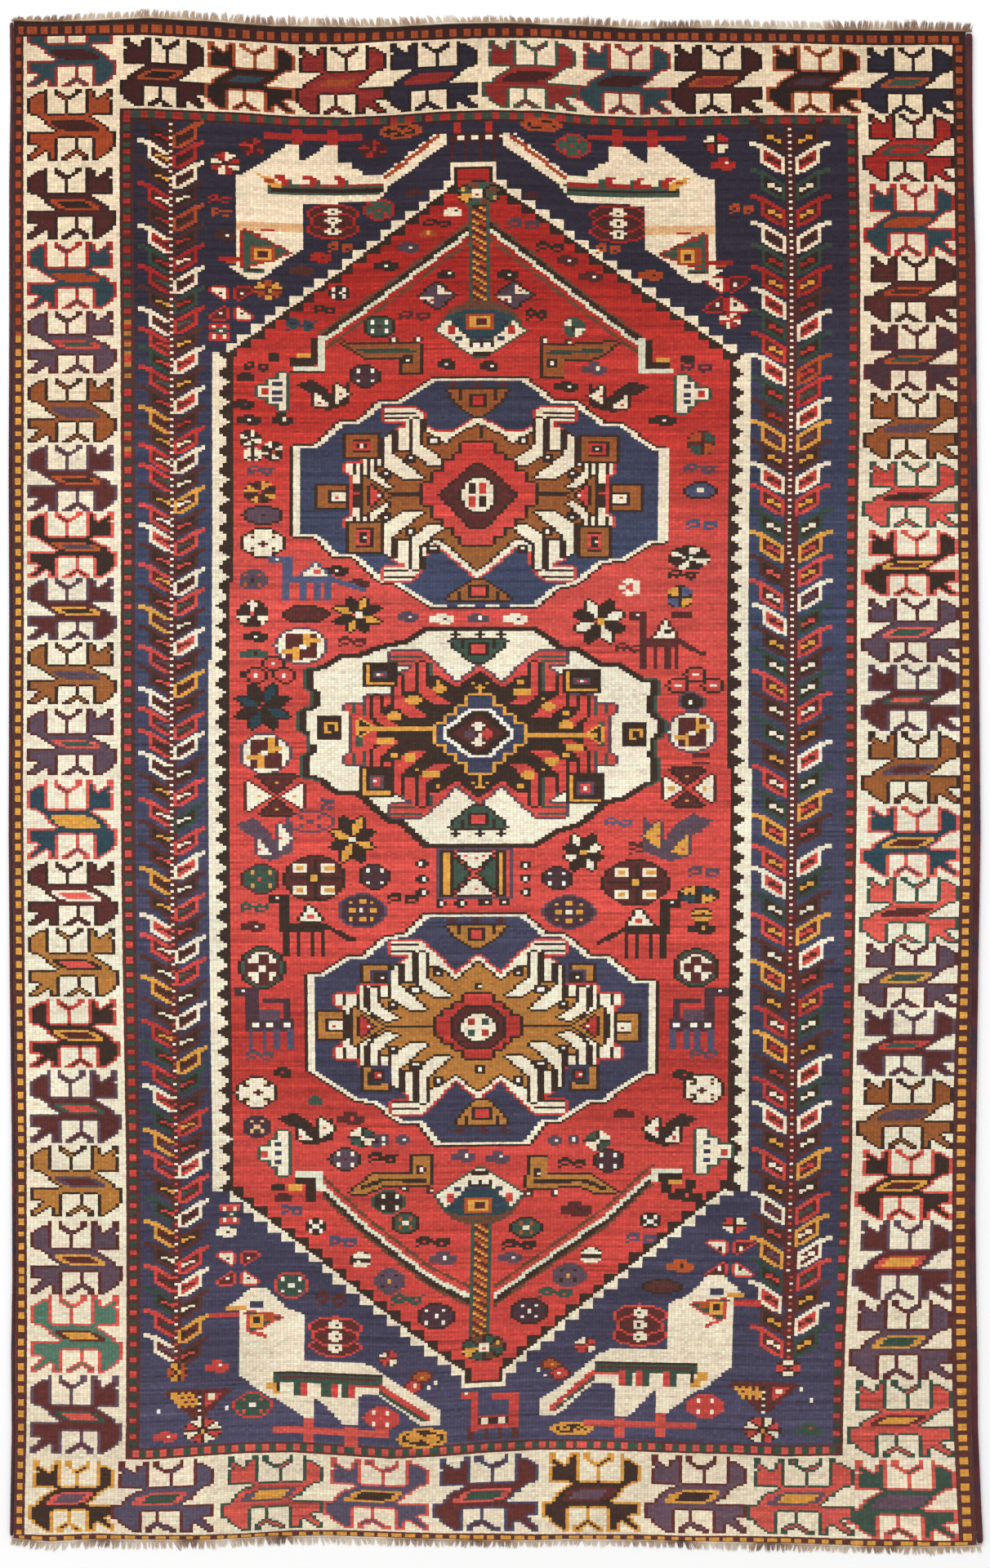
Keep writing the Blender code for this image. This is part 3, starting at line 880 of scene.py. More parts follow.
def third_medallion():
    """The lower medallion."""
    outline(THIRD_MEDALLION, "n", "i", "k")
    quarters = Quarters(133, 451.5, (25, 41.5), (25, 41.5), 0.98, 1.0)
    star(quarters, "i", "o", "k", "i", "r")
    arm_ends(133, 451.5, 0.98, 0.98, "o")
    stepped_diamond(quarters, ((12, 4.5), (9.5, 8), (7, 11), (4, 14.5)), "r", "k")
    area(((126, 448), (129.5, 442.7), (136.5, 442.7), (140, 448), (140, 456), (136.5, 461),
          (129.5, 461), (126, 456)), "m", "k")
    wheel(133, 452, 9.5, 12, "rggr")
    dots([(133, 433.5), (133.5, 471)], "k", 2.6, 3.4)
    dots([(133, 433.5), (133.5, 471)], "w", 1, 1.4)
    for (c0, c1, r0, r1), c, r in (((100, 107, 423.5, 431), 105, 429.3),
                                   ((160, 166, 423.5, 430.5), 161, 429.3),
                                   ((99.5, 107, 470, 480), 104, 473.5),
                                   ((159.5, 167, 469.5, 479.5), 162, 473.5)):
        # a square open towards the star, with a dot in it
        dotted_square(c0, c1, r0, r1, "o", "r", "k", "w")
        corner = (c0 + 2, c1 + 1) if c < 133 else (c0 - 1, c1 - 2)
        rows = (r0 + 2.6, r1 + 1) if r < 451 else (r0 - 1, r1 - 2.6)
        block(*corner, *rows, "n")
        block(c - 1.7, c + 1.7, r - 2.4, r + 2.4, "k")
        if r > 451:
            block(c - 1.2, c + 1.2, r - 1.8, r + 1.8, "r")
        dots([(c, r)], "w", 1, 1.4)
    hook_square(86.8, 93.5, 445, 457, -1, "o", "i")
    hook_square(172.5, 179, 446, 458, 1, "o", "i")
    boat(132.5, 402, 416, 8.5, True, "o", "m")
    boat(134, 485, 500, 7.5, False, "o", "m")


GOLDEN_LEAVES = (
    (120, 124, 297, 301), (112, 117, 302, 306), (107, 111, 310, 313),
    (104, 109, 321, 324), (111.5, 115.5, 328, 331.5), (117, 122, 336, 339),
    (143, 148, 299, 302), (151, 155, 305, 309), (156, 160.5, 313.5, 317),
    (158, 163, 324, 327), (152, 156, 330, 333.5), (145, 149.5, 336, 340),
)


def second_medallion():
    """The middle medallion, ivory with red arms."""
    outline(SECOND_MEDALLION, "i", "k", "k")
    shape = inside(SECOND_MEDALLION)
    rim = grow(shape) & ~shape
    rim[:, near(88 + EDGE):near(180 + EDGE)] = False
    chart[rim] = "g"
    quarters = Quarters(133.3, 319.3, (25, 38.5), (25, 38.7), 0.94, 0.96)
    star(quarters, "r", "k", "g", "r", "v")
    for u, v in STAR_EYES:
        quarters.spot(u, v, "y", 1.4, 1.6)
    for tip, end, r in ((103, 99, 316.5), (164, 168.5, 319.5)):
        area(((end, r - 4), (end, r + 4), (tip, r)), "k", "y")
    for c0, c1, r0, r1 in GOLDEN_LEAVES:
        oval((c0 + c1) / 2, (r0 + r1) / 2, c1 - c0, r1 - r0 + 0.6, "y")
    block(99, 120.5, 316.4, 317.6, "y")
    block(146, 167, 319.4, 320.6, "y")
    for r0, r1, tips in ((297, 303, 297.5), (337, 344, 342.5)):
        # a small golden tree at the top and at the bottom
        block(133, 134.2, r0, r1, "y")
        block(131.8, 135.4, tips, tips + 1.2, "y")
        dots([(131.6, tips - 0.7), (135.4, tips - 0.7)], "y")
    stepped_diamond(quarters, ((12.4, 5), (9.6, 9), (6.6, 13), (3.3, 18)), "n", "y")
    lozenge = ((131, 308.5), (136, 308.5), (142.5, 318), (142.5, 320.5), (136, 329.5),
               (131, 329.5), (123, 320.5), (123, 317.5))
    area(lozenge, "k")
    for (c0, r0), (c1, r1) in zip(lozenge, (*lozenge[1:], lozenge[0])):
        stroke(((c0, r0), (c1, r1)), "w", 1, 1.3)
    area(((126, 319), (133.3, 310.5), (140, 319), (133.3, 327.5)), "m")
    rosette(133, 319.5, 8, 11, 4, "rivi", "m", "i", 0.5)
    for box in ((100.5, 109, 288, 297), (158, 167, 291, 300), (99.5, 108, 335, 346.5),
                (159, 168, 338, 350)):
        dotted_square(*box, "k", "v", "r", "w")
        block(box[0], box[0] + 1.4, box[2], box[3], "y")
        block(box[0], box[1], box[3] - 1.4, box[3], "y")
    for c0, c1, r0, r1 in ((86.5, 94, 311, 321.5), (173.6, 180.6, 314, 325)):
        block(c0 - 1.6, c1 + 1.5, r0 - 2.4, r1 + 2.4, "i")
        block(c0, c1, r0, r1, "k")
        # a golden hook
        middle = (c0 + c1) / 2
        block(middle - 1.4, middle + 2.8, r0 + 2.6, r0 + 4, "y")
        block(middle - 1.4, middle - 0.4, r0 + 2.6, r1 - 2.6, "y")
        block(middle - 1.4, middle + 1, r1 - 4, r1 - 2.6, "y")
        block(middle + 1.8, middle + 2.8, r0 + 2.6, r0 + 6.6, "y")
    boat(133, 273, 287, 8, True, "g", "k")
    boat(133, 352, 366, 8, False, "g", "k")


# ------------------------------------------------------------------- the four birds
# The upper left bird, upside down: its body, wing, head, feet and the line above its
# neck. The others are turned copies.
UPPER_BIRD = (
    (64, 67.5), (67, 66), (70, 63), (74, 58), (79, 51.8), (82.5, 51.8), (82.5, 59),
    (84, 59), (89.5, 52), (93.3, 52), (93.3, 59.5), (96.5, 60.3), (97.2, 62.5),
    (99.3, 63.3), (100, 66.3), (105, 66.3), (107, 64.8), (120.5, 49.5), (122, 48.5),
    (124.3, 49), (124, 53), (107.5, 71.5), (105.5, 76), (103.5, 78), (83.3, 79),
    (83.5, 99.5), (78, 104.5), (72, 113), (69.5, 114.5), (66.5, 113), (61, 108), (64, 108),
)


class Corner:
    """Draws a bird's pieces in one corner of the field.

    across and down each hold places in the bird's own drawing and where they lie here.
    """

    def __init__(self, across, down):
        self.across, self.down = across, down

    def at(self, points):
        """Places of the bird's own drawing on the chart."""
        return [(float(np.interp(c, *self.across)), float(np.interp(r, *self.down)))
                for c, r in points]

    def area(self, points, yarn, edge=None):
        """An outline of the drawing, filled."""
        area(self.at(points), yarn, edge)

    def stroke(self, points, yarn, wide=1.0, tall=1.0):
        """A stepped line of the drawing."""
        stroke(self.at(points), yarn, wide, tall)

    def blocks(self, boxes):
        """Boxes of the drawing, whichever way the corner turns them."""
        for c0, c1, r0, r1, yarn in boxes:
            (x0, y0), (x1, y1) = self.at([(c0, r0), (c1, r1)])
            block(min(x0, x1), max(x0, x1), min(y0, y1), max(y0, y1), yarn)

    def dots(self, places, yarn, wide=1, tall=1):
        """Small blocks of the drawing."""
        dots(self.at(places), yarn, wide, tall)


def upper_bird(corner):
    """The large ivory bird of an upper corner."""
    corner.area(UPPER_BIRD, "i")
    # feet and the red bar they stand on
    corner.blocks(((79.5, 82.5, 44.5, 52, "r"), (89.7, 93.2, 44.5, 52, "r"),
                   (72, 100, 47, 49.5, "r")))
    # the ivory wool of these rows has gone tan
    for r in range(88, 92):
        for c in range(64, 84):
            aged = corner.at([(c + 0.5, r + 0.5)])[0]
            if chart[window(aged[0] - 0.5, aged[0] + 0.5, aged[1] - 0.5, aged[1] + 0.5)][0] == "i":
                corner.dots([(c + 0.5, r + 0.5)], "a")
    # the line of rust and pink along the neck
    corner.stroke(((106.5, 67.2), (121.5, 49.8)), "u", 1, 1.6)
    for k in range(11):
        corner.dots([(107 + 1.35 * k, 64.8 - 1.57 * k)], "w", 1, 1)
    # wing
    corner.area(((73.5, 70.3), (106.5, 69.8), (105.3, 75), (73.5, 75)), "g")
    corner.blocks(((74, 106, 72.4, 73.6, "k"), (82, 106, 69.6, 71, "r")))
    for c in (75, 83.2, 91.3):
        corner.area(((c, 66), (c + 2.6, 66.3), (c + 4, 68.5), (c + 4, 71.5), (c + 1.6, 71.5),
                     (c + 1.6, 68.8)), "r")
        corner.blocks(((c + 3.6, c + 5, 67.5, 71.5, "g"), (c + 0.2, c + 1.4, 66.4, 67.6, "c")))
    corner.area(((70.3, 66.4), (73.5, 67), (76.6, 70), (76.6, 72.2), (74.5, 72)), "y")
    corner.blocks(((72.4, 74.6, 68, 69.6, "u"),))
    # head: a green triangle with its eye, crest and beak
    corner.area(((66.5, 92), (66.5, 108.6), (79.3, 101.5)), "g", "r")
    corner.blocks((
        (68.2, 74.6, 98.6, 106, "u"), (69.4, 73.6, 99.6, 105, "y"),
        (70.3, 72.7, 101, 104, "m"), (70.5, 74.5, 90.8, 92.4, "r"), (69, 71, 93.4, 95, "r"),
        (59, 65.6, 104, 105.8, "r"), (60.5, 64, 106.3, 107.3, "u"),
        (66, 71.5, 108.6, 110.6, "g"), (66.5, 71, 109.2, 110, "k")))


# The lower left bird, upright, with its own proportions.
LOWER_BIRD = (
    (64, 580), (60.5, 579), (67, 571), (72, 571), (78, 580), (83.3, 583), (83.5, 603.7),
    (101, 603.7), (104, 606), (118, 620.5), (123.3, 625), (123.3, 632), (118, 632),
    (105, 617.5), (100, 618), (98.7, 620.5), (98.7, 632), (95, 632), (87.5, 621),
    (86.4, 621), (86.4, 629.5), (83, 629.5), (75, 620.5), (72, 619.5), (64, 610),
)


def lower_bird(corner):
    """The large ivory bird of a lower corner."""
    corner.area(LOWER_BIRD, "i")
    # feet and the bar they stand on, and the wing
    corner.blocks((
        (83, 86.4, 629.5, 640, "c"), (95.4, 98.7, 632, 641, "c"), (74, 108, 633.5, 636.6, "c"),
        (74, 105.5, 608.6, 613.5, "g"), (74, 105.5, 608.6, 609.6, "k"),
        (76, 104, 610.8, 611.6, "m"), (97, 106, 613.2, 614.8, "r")))
    # hanging feathers and the golden one in front
    for c in (80, 88.4, 94):
        corner.blocks(((c, c + 2.1, 613, 619, "g"), (c + 2.1, c + 4.2, 613, 619, "r")))
    corner.blocks(((71.5, 74.6, 613, 616, "y"), (73.5, 75.8, 615, 618.5, "y"),
                   (74.8, 76, 613, 617, "k")))
    # the line down the neck
    corner.stroke(((105.5, 613.5), (119.5, 628.5)), "r", 1, 2.2)
    corner.stroke(((105.5, 616), (118, 629)), "g", 1, 1.2)
    # head, eye, beak and crest
    corner.area(((66.3, 581.3), (76.2, 583.5), (67.5, 590.6)), "g", "r")
    corner.blocks((
        (67, 71, 582, 588, "y"), (68.3, 69.8, 583.5, 586, "k"), (71, 74, 582.5, 585, "u"),
        (66.8, 70.6, 576.3, 579.2, "n"), (55, 64, 581.4, 583.6, "r"),
        (60, 66, 578.2, 580.4, "y")))
    corner.area(((68, 591), (72.5, 594.4), (71, 590.8)), "r")


def four_birds():
    """The large birds, the right ones turned to face the left ones."""
    upper_bird(Corner(((0, 274), (0, 274)), ((0, 684), (0, 684))))
    upper_bird(Corner(((0, 264), (263.7, -0.3)), ((0, 684), (0.7, 684.7))))
    lower_bird(Corner(((0, 274), (0, 274)), ((0, 684), (-0.5, 683.5))))
    lower_bird(Corner(((54, 64, 105, 123.4), (217, 207.8, 168, 152)),
                      ((565, 571, 609, 630, 641), (559, 564.5, 604, 627.5, 638.5))))


# ------------------------------------------------------------------ trees of birds
# A small bird on a branch, its beak out to the left: 1 rim, 2 body, 3 heart.
BRANCH_BIRD = (
    "11........",
    "1111......",
    "..111.....",
    "...111....",
    "...1211...",
    "...12211..",
    "...122211.",
    "...1233211",
    "...1233221",
    "...1122331",
    "....112231",
    ".....11221",
    "......1121",
    ".......111",
    ".........1",
)
LEFT_TREE_OUT = ("dr Io do Ri dr Ir gr Rg do Id Rr gr Rg dr Od do Ri Rg do Rw Ir dr Ro dr Ov dr "
                 "Rv dr Id Rs Rd Id do Ri do dr Od do Ir Ri di Od di Ro gr Rg Ir gr Ov Rs do gr "
                 "Od di Rd gr Rt Iv")
LEFT_TREE_IN = ("Od Rd Id di Od dr Ri Id gr Rg do Ir do Ir dr Ri Id di Oi dr Rg dr Id Rg di Ir "
                "dr Od dr Rg Id di Ri gi Ri Ir di Rg dr Id Rg di Id di Od gr dr Ro dr Ir Rg Id "
                "do Ri Ir di Od dr")
RIGHT_TREE_IN = ("do Ir gi Ro Id gr Ro Ir gr Ro Ir gr dr Ov do Ir Ro gi Or dr Ri Ir do gi Ro di "
                 "gi do Ri gi Or Ro Ir gi Ro di Or do Ri Or dr Ri Ir do Ri do Iv dr Ov gr Ir do "
                 "Ri")
RIGHT_TREE_OUT = ("do Ir gi Ro Id gr Ro dr Ir gr Or Rg Ir Ov do Ir Ro gi Or Ro Iv gr Ro di gi Ri "
                  "do Ir gi Or dr Ir go di Or Ir dr Ro gi do Ir gi Ir di Or di Rg Oi Ii Rg do Ir "
                  "go")
# The yarns of each kind of bird: its rim, and what fills it round its heart.
BIRD_RIMS = {"I": "i", "R": "r", "O": "y", "d": "d", "g": "f"}
BIRD_FILLS = {"I": "m", "R": "m", "O": "m", "d": "k", "g": "k"}
HEARTS = {"r": "r", "o": "y", "i": "i", "v": "v", "w": "w", "s": "s", "t": "t", "d": "k",
          "g": "g"}
# Rows of some of the birds, counted from the top; the rest lie between them.
LEFT_OUT_ROWS = ((0, 1, 5, 9, 14, 20, 28, 31, 38, 46, 57),
                 (49, 58.5, 96, 133.3, 177, 230.5, 304, 333.5, 406, 483, 595))
LEFT_IN_ROWS = ((0, 2, 7, 11, 16, 22, 27, 30, 35, 39, 44, 49, 51, 56, 57),
                (49, 67.5, 114.3, 150, 195.5, 250.5, 296, 324.5, 378, 416, 466, 513.5,
                 535.5, 587, 597))
RIGHT_ROWS = ((0, 1, 4, 8, 13, 15, 18, 21, 25, 30, 31, 36, 40, 44, 48, 52),
              (48.5, 58.8, 94, 134, 184, 203.5, 234.5, 267.5, 307, 362, 376, 428.5, 471,
               513, 553, 593))
# Where the right tree's trunk runs: rows, columns.
RIGHT_TRUNK = ((43, 220, 430, 603), (221.7, 221.9, 223, 224.3))


def branch(words, rows, trunk, beside, wide, tall, flip):
    """One side of a tree: a bird for each word, its yarns from the word's letters."""
    for k, word in enumerate(words.split()):
        kind, heart = word
        r = float(np.interp(k, *rows))
        rim = "u" if kind == "O" and r < 170 else BIRD_RIMS[kind]
        fill = "r" if kind == "I" and heart == "r" else BIRD_FILLS[kind]
        middle = "m" if fill == HEARTS[heart] else HEARTS[heart]
        c = float(np.interp(r, *trunk)) + beside
        stamp(BRANCH_BIRD, c, r, (rim, fill, middle), flip, wide, tall)


def trees():
    """The two trees of small birds along the sides of the field."""
    left = ((43, 603), (45.2, 45.2))
    for trunk in (left, RIGHT_TRUNK):
        for r in range(43, 603):
            c = float(np.interp(r, *trunk))
            block(c - 1.6, c + 1.6, r, r + 1, "m")
            if r % 3 == 0:
                dots([(c, r + 0.5)], "w" if r < 400 or r % 2 else "c")
    branch(LEFT_TREE_OUT, LEFT_OUT_ROWS, left, -5, 8.6, 12.5, "")
    branch(LEFT_TREE_IN, LEFT_IN_ROWS, left, 5.4, 8.6, 12.5, "x")
    branch(RIGHT_TREE_IN, RIGHT_ROWS, RIGHT_TRUNK, -6.6, 9.6, 14.5, "")
    branch(RIGHT_TREE_OUT, RIGHT_ROWS, RIGHT_TRUNK, 6.6, 9.6, 14.5, "x")
    rosette(46, 607, 6, 9, 5, "uy", "k", "y")
    rosette(224.5, 605.5, 7, 8, 4, "ri", "k", "k", 0.5)
    # a basket under each tree: striped on one side, ivory and red on the other
    for c, r, half, tall in ((52, 616, 9, 12), (217.7, 613.5, 9.3, 11.5)):
        area(((c - half, r), (c + half, r), (c + half * 0.6, r + 4.5), (c + 1, r + tall),
              (c - 1, r + tall), (c - half * 0.6, r + 4.5)), "m", "m")
        for k in range(4):
            stroke(((c - half + 1 + 1.9 * k, r + 1), (c - half + 3.6 + 1.9 * k, r + 6)), "y", 1,
                   1.6)
        area(((c + 2, r + 1), (c + 7.5, r + 1), (c + 2, r + 8)), "r")
        block(c + 3, c + 5.4, r + 1.4, r + 3.8, "i")
        block(c - 0.5, c + 0.5, r, r + tall, "k")
        dots([(c, r + 2.5 + 3 * k) for k in range(4)], "w")
    rosette(53.5, 633.5, 11, 11, 8, "ri", "k", "y")
    rosette(217.3, 633.5, 11, 12, 8, "ir", "k", "y")


def insect(c0, c1, r0, r1):
    """A round bug in three parts, red at the rims, with ivory lozenges down its middle."""
    c, r, wide, tall = (c0 + c1) / 2, (r0 + r1) / 2, c1 - c0, r1 - r0
    dots([(c, r0 - 0.4), (c - 1.6, r1 + 0.4), (c + 1.6, r1 + 0.4)], "r", 1.4, 1.4)
    for share, width in ((-0.24, 1), (0.26, 1), (0.01, 0.86)):
        oval(c, r + share * tall, wide * width, tall * 0.46, "m", "r")
    for share in (-0.3, 0, 0.3):
        oval(c, r + share * tall, 4.2, tall * 0.25, "i")
        dots([(c, r + share * tall)], "k", 1, 1.4)


def insects():
    """The four long-legged insects at the field's slopes."""
    for box in ((84.5, 98.5, 79.5, 94), (165, 180, 80, 96), (85, 99, 583, 600),
                (173.5, 188, 578, 596)):
        insect(*box)


# -------------------------------------------------------------- the small fillers
BUG = (
    ".111..",
    "111111",
    "112111",
    "111111",
    "..111.",
)
# columns: from, to (across); from, to (down); yarn
SCROLLS = (
    (56, 62.5, 76, 80, "r"), (57, 62.5, 82, 86, "u"), (90, 97, 96, 101, "u"),
    (166, 173, 97, 102, "u"), (204, 211, 79, 84, "u"), (86, 95, 571, 578, "m"),
    (86, 92, 125, 129, "k"), (78, 86.5, 131, 137, "t"), (66, 73, 151, 155.5, "k"),
    (190, 199, 151, 155.5, "p"), (67, 74.5, 198, 202.5, "v"), (191, 200.5, 197, 201.5, "v"),
    (192, 201, 222, 227, "s"), (187, 195.5, 245, 249.5, "k"), (93, 101, 275, 280, "m"),
    (172, 180, 278, 282.5, "m"), (169, 177, 357, 361.5, "s"), (64.5, 73, 395.5, 400, "g"),
    (107, 116, 391, 396, "k"), (193, 202, 379, 384, "v"), (66, 74, 462, 467, "v"),
    (193.5, 202, 461, 466.5, "v"), (75.5, 82, 532, 537.5, "s"), (89.5, 98, 546, 551, "s"),
    (176, 185, 545, 550, "s"), (101, 109.5, 508, 513, "k"), (156, 164, 511, 516, "k"),
    (115, 125, 546, 551.5, "k"), (139.5, 150, 548, 553, "k"), (108, 117.5, 571.5, 577, "g"),
    (151, 161, 570, 575.5, "g"), (110, 119, 128, 132.5, "m"), (146, 152, 127, 133, "k"),
    (141, 150, 87, 92, "v"), (149, 157, 97, 102, "k"), (117, 125, 87, 90.5, "k"),
    (176, 180, 367, 374, "m"), (87.5, 92, 348, 354, "v"),
)
# columns: from, to (across); from, to (down); yarn, dot
BUGS = (
    (57.5, 63.5, 92, 96.5, "d", "w"), (85.5, 91, 101.5, 106, "r", "m"),
    (79, 86, 107, 112, "d", "m"), (178, 185, 109, 114, "u", "k"),
    (199, 206, 58, 63.5, "r", "i"), (57, 63, 542, 546.5, "i", "k"),
    (54, 61, 602, 607.5, "r", "w"), (188, 196, 557, 563, "u", "k"),
    (39, 46, 633, 638, "r", "w"), (227, 235, 630, 635.5, "g", "r"),
    (112, 117, 73, 76, "m", "m"), (146, 150, 75, 78, "m", "m"),
    (110, 116, 97, 101.5, "v", "w"), (103, 109.5, 105, 109.5, "k", "w"),
    (121, 126, 110, 113.5, "k", "w"), (138.5, 144, 110, 114.5, "k", "w"),
    (155, 161, 103, 108, "m", "w"), (161, 168, 110, 115, "m", "w"),
    (64, 70.5, 175.5, 180, "k", "w"), (74, 80, 174, 180, "k", "i"),
    (181, 189, 175, 180, "k", "i"), (120.5, 125.5, 150, 155, "k", "w"),
    (133, 138, 151, 156, "k", "w"), (162, 169, 151, 157, "v", "w"),
    (154, 161, 160, 164.5, "k", "w"), (89, 95.5, 243, 247.5, "k", "w"),
    (96, 101.5, 249, 254, "m", "k"), (66, 72.5, 273, 278, "k", "w"),
    (65, 73, 281, 285, "g", "k"), (65.5, 72, 404, 409, "m", "w"),
    (73.5, 78.5, 470, 475, "k", "r"), (189, 195, 471, 476, "k", "r"),
    (125.5, 132, 507, 513, "v", "w"), (135.5, 142, 508, 513.5, "v", "w"),
    (119.5, 127, 553, 559, "v", "w"), (139, 146, 554, 559, "v", "w"),
    (157.5, 166, 531, 538, "m", "k"), (74, 79, 527, 530.5, "m", "k"),
    (188.5, 198, 525, 531, "k", "c"), (123, 128, 82, 85.5, "i", "k"),
    (116, 120.5, 91.5, 94.5, "u", "y"), (92, 100, 490, 496, "m", "r"),
    (172, 178, 489, 492.5, "m", "m"), (65, 72, 290, 295, "k", "w"),
    (193, 201, 404, 410, "k", "y"), (83.5, 87.5, 483, 487, "g", "g"),
    (63.5, 69, 168, 172.5, "k", "v"), (64, 69, 156, 159.5, "k", "k"),
    (110, 116, 264, 269, "v", "w"), (119, 126, 265, 270, "i", "k"),
    (130, 136, 265, 269, "v", "w"), (140, 147, 265, 270, "i", "k"),
)
# columns: from, to (across); from, to (down); yarn, edge, dots, hub
DOTTED_OVALS = (
    (101, 108.5, 77.5, 86, "g", "r", "c", "r"), (155.5, 164, 49, 58, "g", "r", "c", "r"),
    (74.5, 83.5, 563.5, 574, "g", "r", "w", "w"), (63, 73, 618, 628.5, "g", "r", "c", "w"),
    (101.5, 110, 623, 632, "r", "r", "w", "c"), (196, 205, 618.5, 628.5, "r", "r", "w", "c"),
    (100.5, 108.5, 130.5, 139.5, "g", "k", "w", "m"),
    (96.5, 104, 152.5, 162, "p", "k", "w", "p"), (99.5, 107, 378.5, 389, "p", "k", "w", "m"),
    (152, 159.5, 380, 389.5, "p", "k", "w", "m"), (90.5, 98.5, 507, 516, "v", "k", "w", "m"),
    (167, 174.5, 508, 517, "p", "k", "w", "m"), (65.5, 72.5, 492.5, 501, "p", "p", "a", "a"),
    (103, 111.5, 526, 535, "k", "g", "w", "m"), (116.5, 126, 577, 587.5, "p", "k", "w", "w"),
    (143.5, 153.5, 576, 586, "p", "k", "w", "w"), (64.5, 73, 245, 254.5, "v", "r", "u", "k"),
    (66.5, 76.5, 217, 224, "v", "k", "v", "k"), (192, 200, 206, 212.5, "s", "k", "s", "i"),
    (77.5, 90, 262, 268.5, "m", "k", "m", "m"), (190.5, 197, 301, 308.5, "k", "v", "k", "w"),
    (79, 91, 355, 363, "r", "v", "v", "v"), (66, 75.5, 379, 391, "g", "m", "y", "r"),
    (104, 111.5, 561, 571, "v", "v", "k", "y"), (155.5, 164, 560, 569.5, "v", "v", "k", "y"),
    (108.5, 115.5, 536, 544, "g", "k", "u", "i"), (143, 151, 539, 547, "g", "k", "u", "i"),
    (83, 89, 538, 546, "k", "r", "w", "w"), (179.5, 186.5, 536, 543.5, "k", "r", "w", "w"),
    (90, 96.5, 116, 123, "k", "r", "w", "w"), (100, 107, 500, 506, "v", "r", "w", "k"),
    (182, 192, 567, 572, "d", "k", "d", "m"),
)
# Round ivory flowers with a cross in them.
# columns: from, to (across); from, to (down)
CROSS_FLOWERS = ((66, 77, 226.5, 239.5), (63.5, 74.5, 475, 488), (192.5, 203, 473.5, 486.5))
# columns: from, to (across); from, to (down); petals, yarns, ground, hub
WHEELS = (
    (65, 72.5, 50, 58.5, 8, "rm", "m", "c"), (99, 107, 50, 58.5, 8, "rm", "m", "c"),
    (56.5, 65.5, 57, 67.5, 8, "ir", "m", "m"), (69, 77, 114, 123.5, 6, "uy", "m", "y"),
    (197, 204.5, 47, 56.5, 4, "ir", "k", "k"), (201, 207.5, 128, 136, 8, "ir", "m", "r"),
    (204, 211, 537.5, 545, 4, "ri", "k", "k"), (105, 110.5, 597, 604.5, 4, "ir", "m", "r"),
    (162, 168.5, 593, 600.5, 4, "ir", "m", "r"), (156.5, 163, 131, 140, 4, "ig", "g", "k"),
    (95.5, 103, 497, 506, 4, "ig", "k", "i"), (163.5, 171.5, 499, 508, 4, "gi", "k", "i"),
    (64.5, 71, 182, 190, 8, "ik", "k", "m"), (71, 77.5, 187, 196, 8, "ki", "k", "u"),
    (65.5, 71.5, 190, 196.5, 8, "i", "k", "k"), (66, 75.5, 205, 215.5, 8, "yk", "m", "r"),
    (192, 200.5, 182, 193.5, 4, "ug", "m", "k"), (186.5, 194.5, 252, 262.5, 4, "ys", "k", "k"),
    (172.5, 180, 249, 257, 5, "i", "r", "r"), (64, 73.5, 259, 271.5, 6, "ik", "k", "r"),
    (96, 102.5, 553, 560.5, 2, "i", "k", "k"), (162.5, 169.5, 552, 559.5, 2, "i", "k", "k"),
    (194, 200, 398, 404.5, 4, "y", "k", "m"), (190, 202, 388, 396, 4, "yt", "k", "k"),
    (187, 199, 234, 245.5, 8, "ik", "k", "i"),
)


def scroll(c0, c1, r0, r1, yarn):
    """Two small curls side by side, like a lying S."""
    ground = chart[window(c0 - 1, c0, r0, r0 + 1)][0, 0]
    c, r, wide, tall = middle_of(c0, c1, r0, r1)
    for side in (-1, 1):
        oval(c + side * wide * 0.24, r + side * 0.5, wide * 0.46, tall * 0.82, yarn)
        dots([(c + side * wide * 0.26, r + side * 0.5)], ground, 1.4, 1)
    dots([(c0 + 0.5, r1 - 1), (c1 - 0.5, r0 + 1)], yarn)


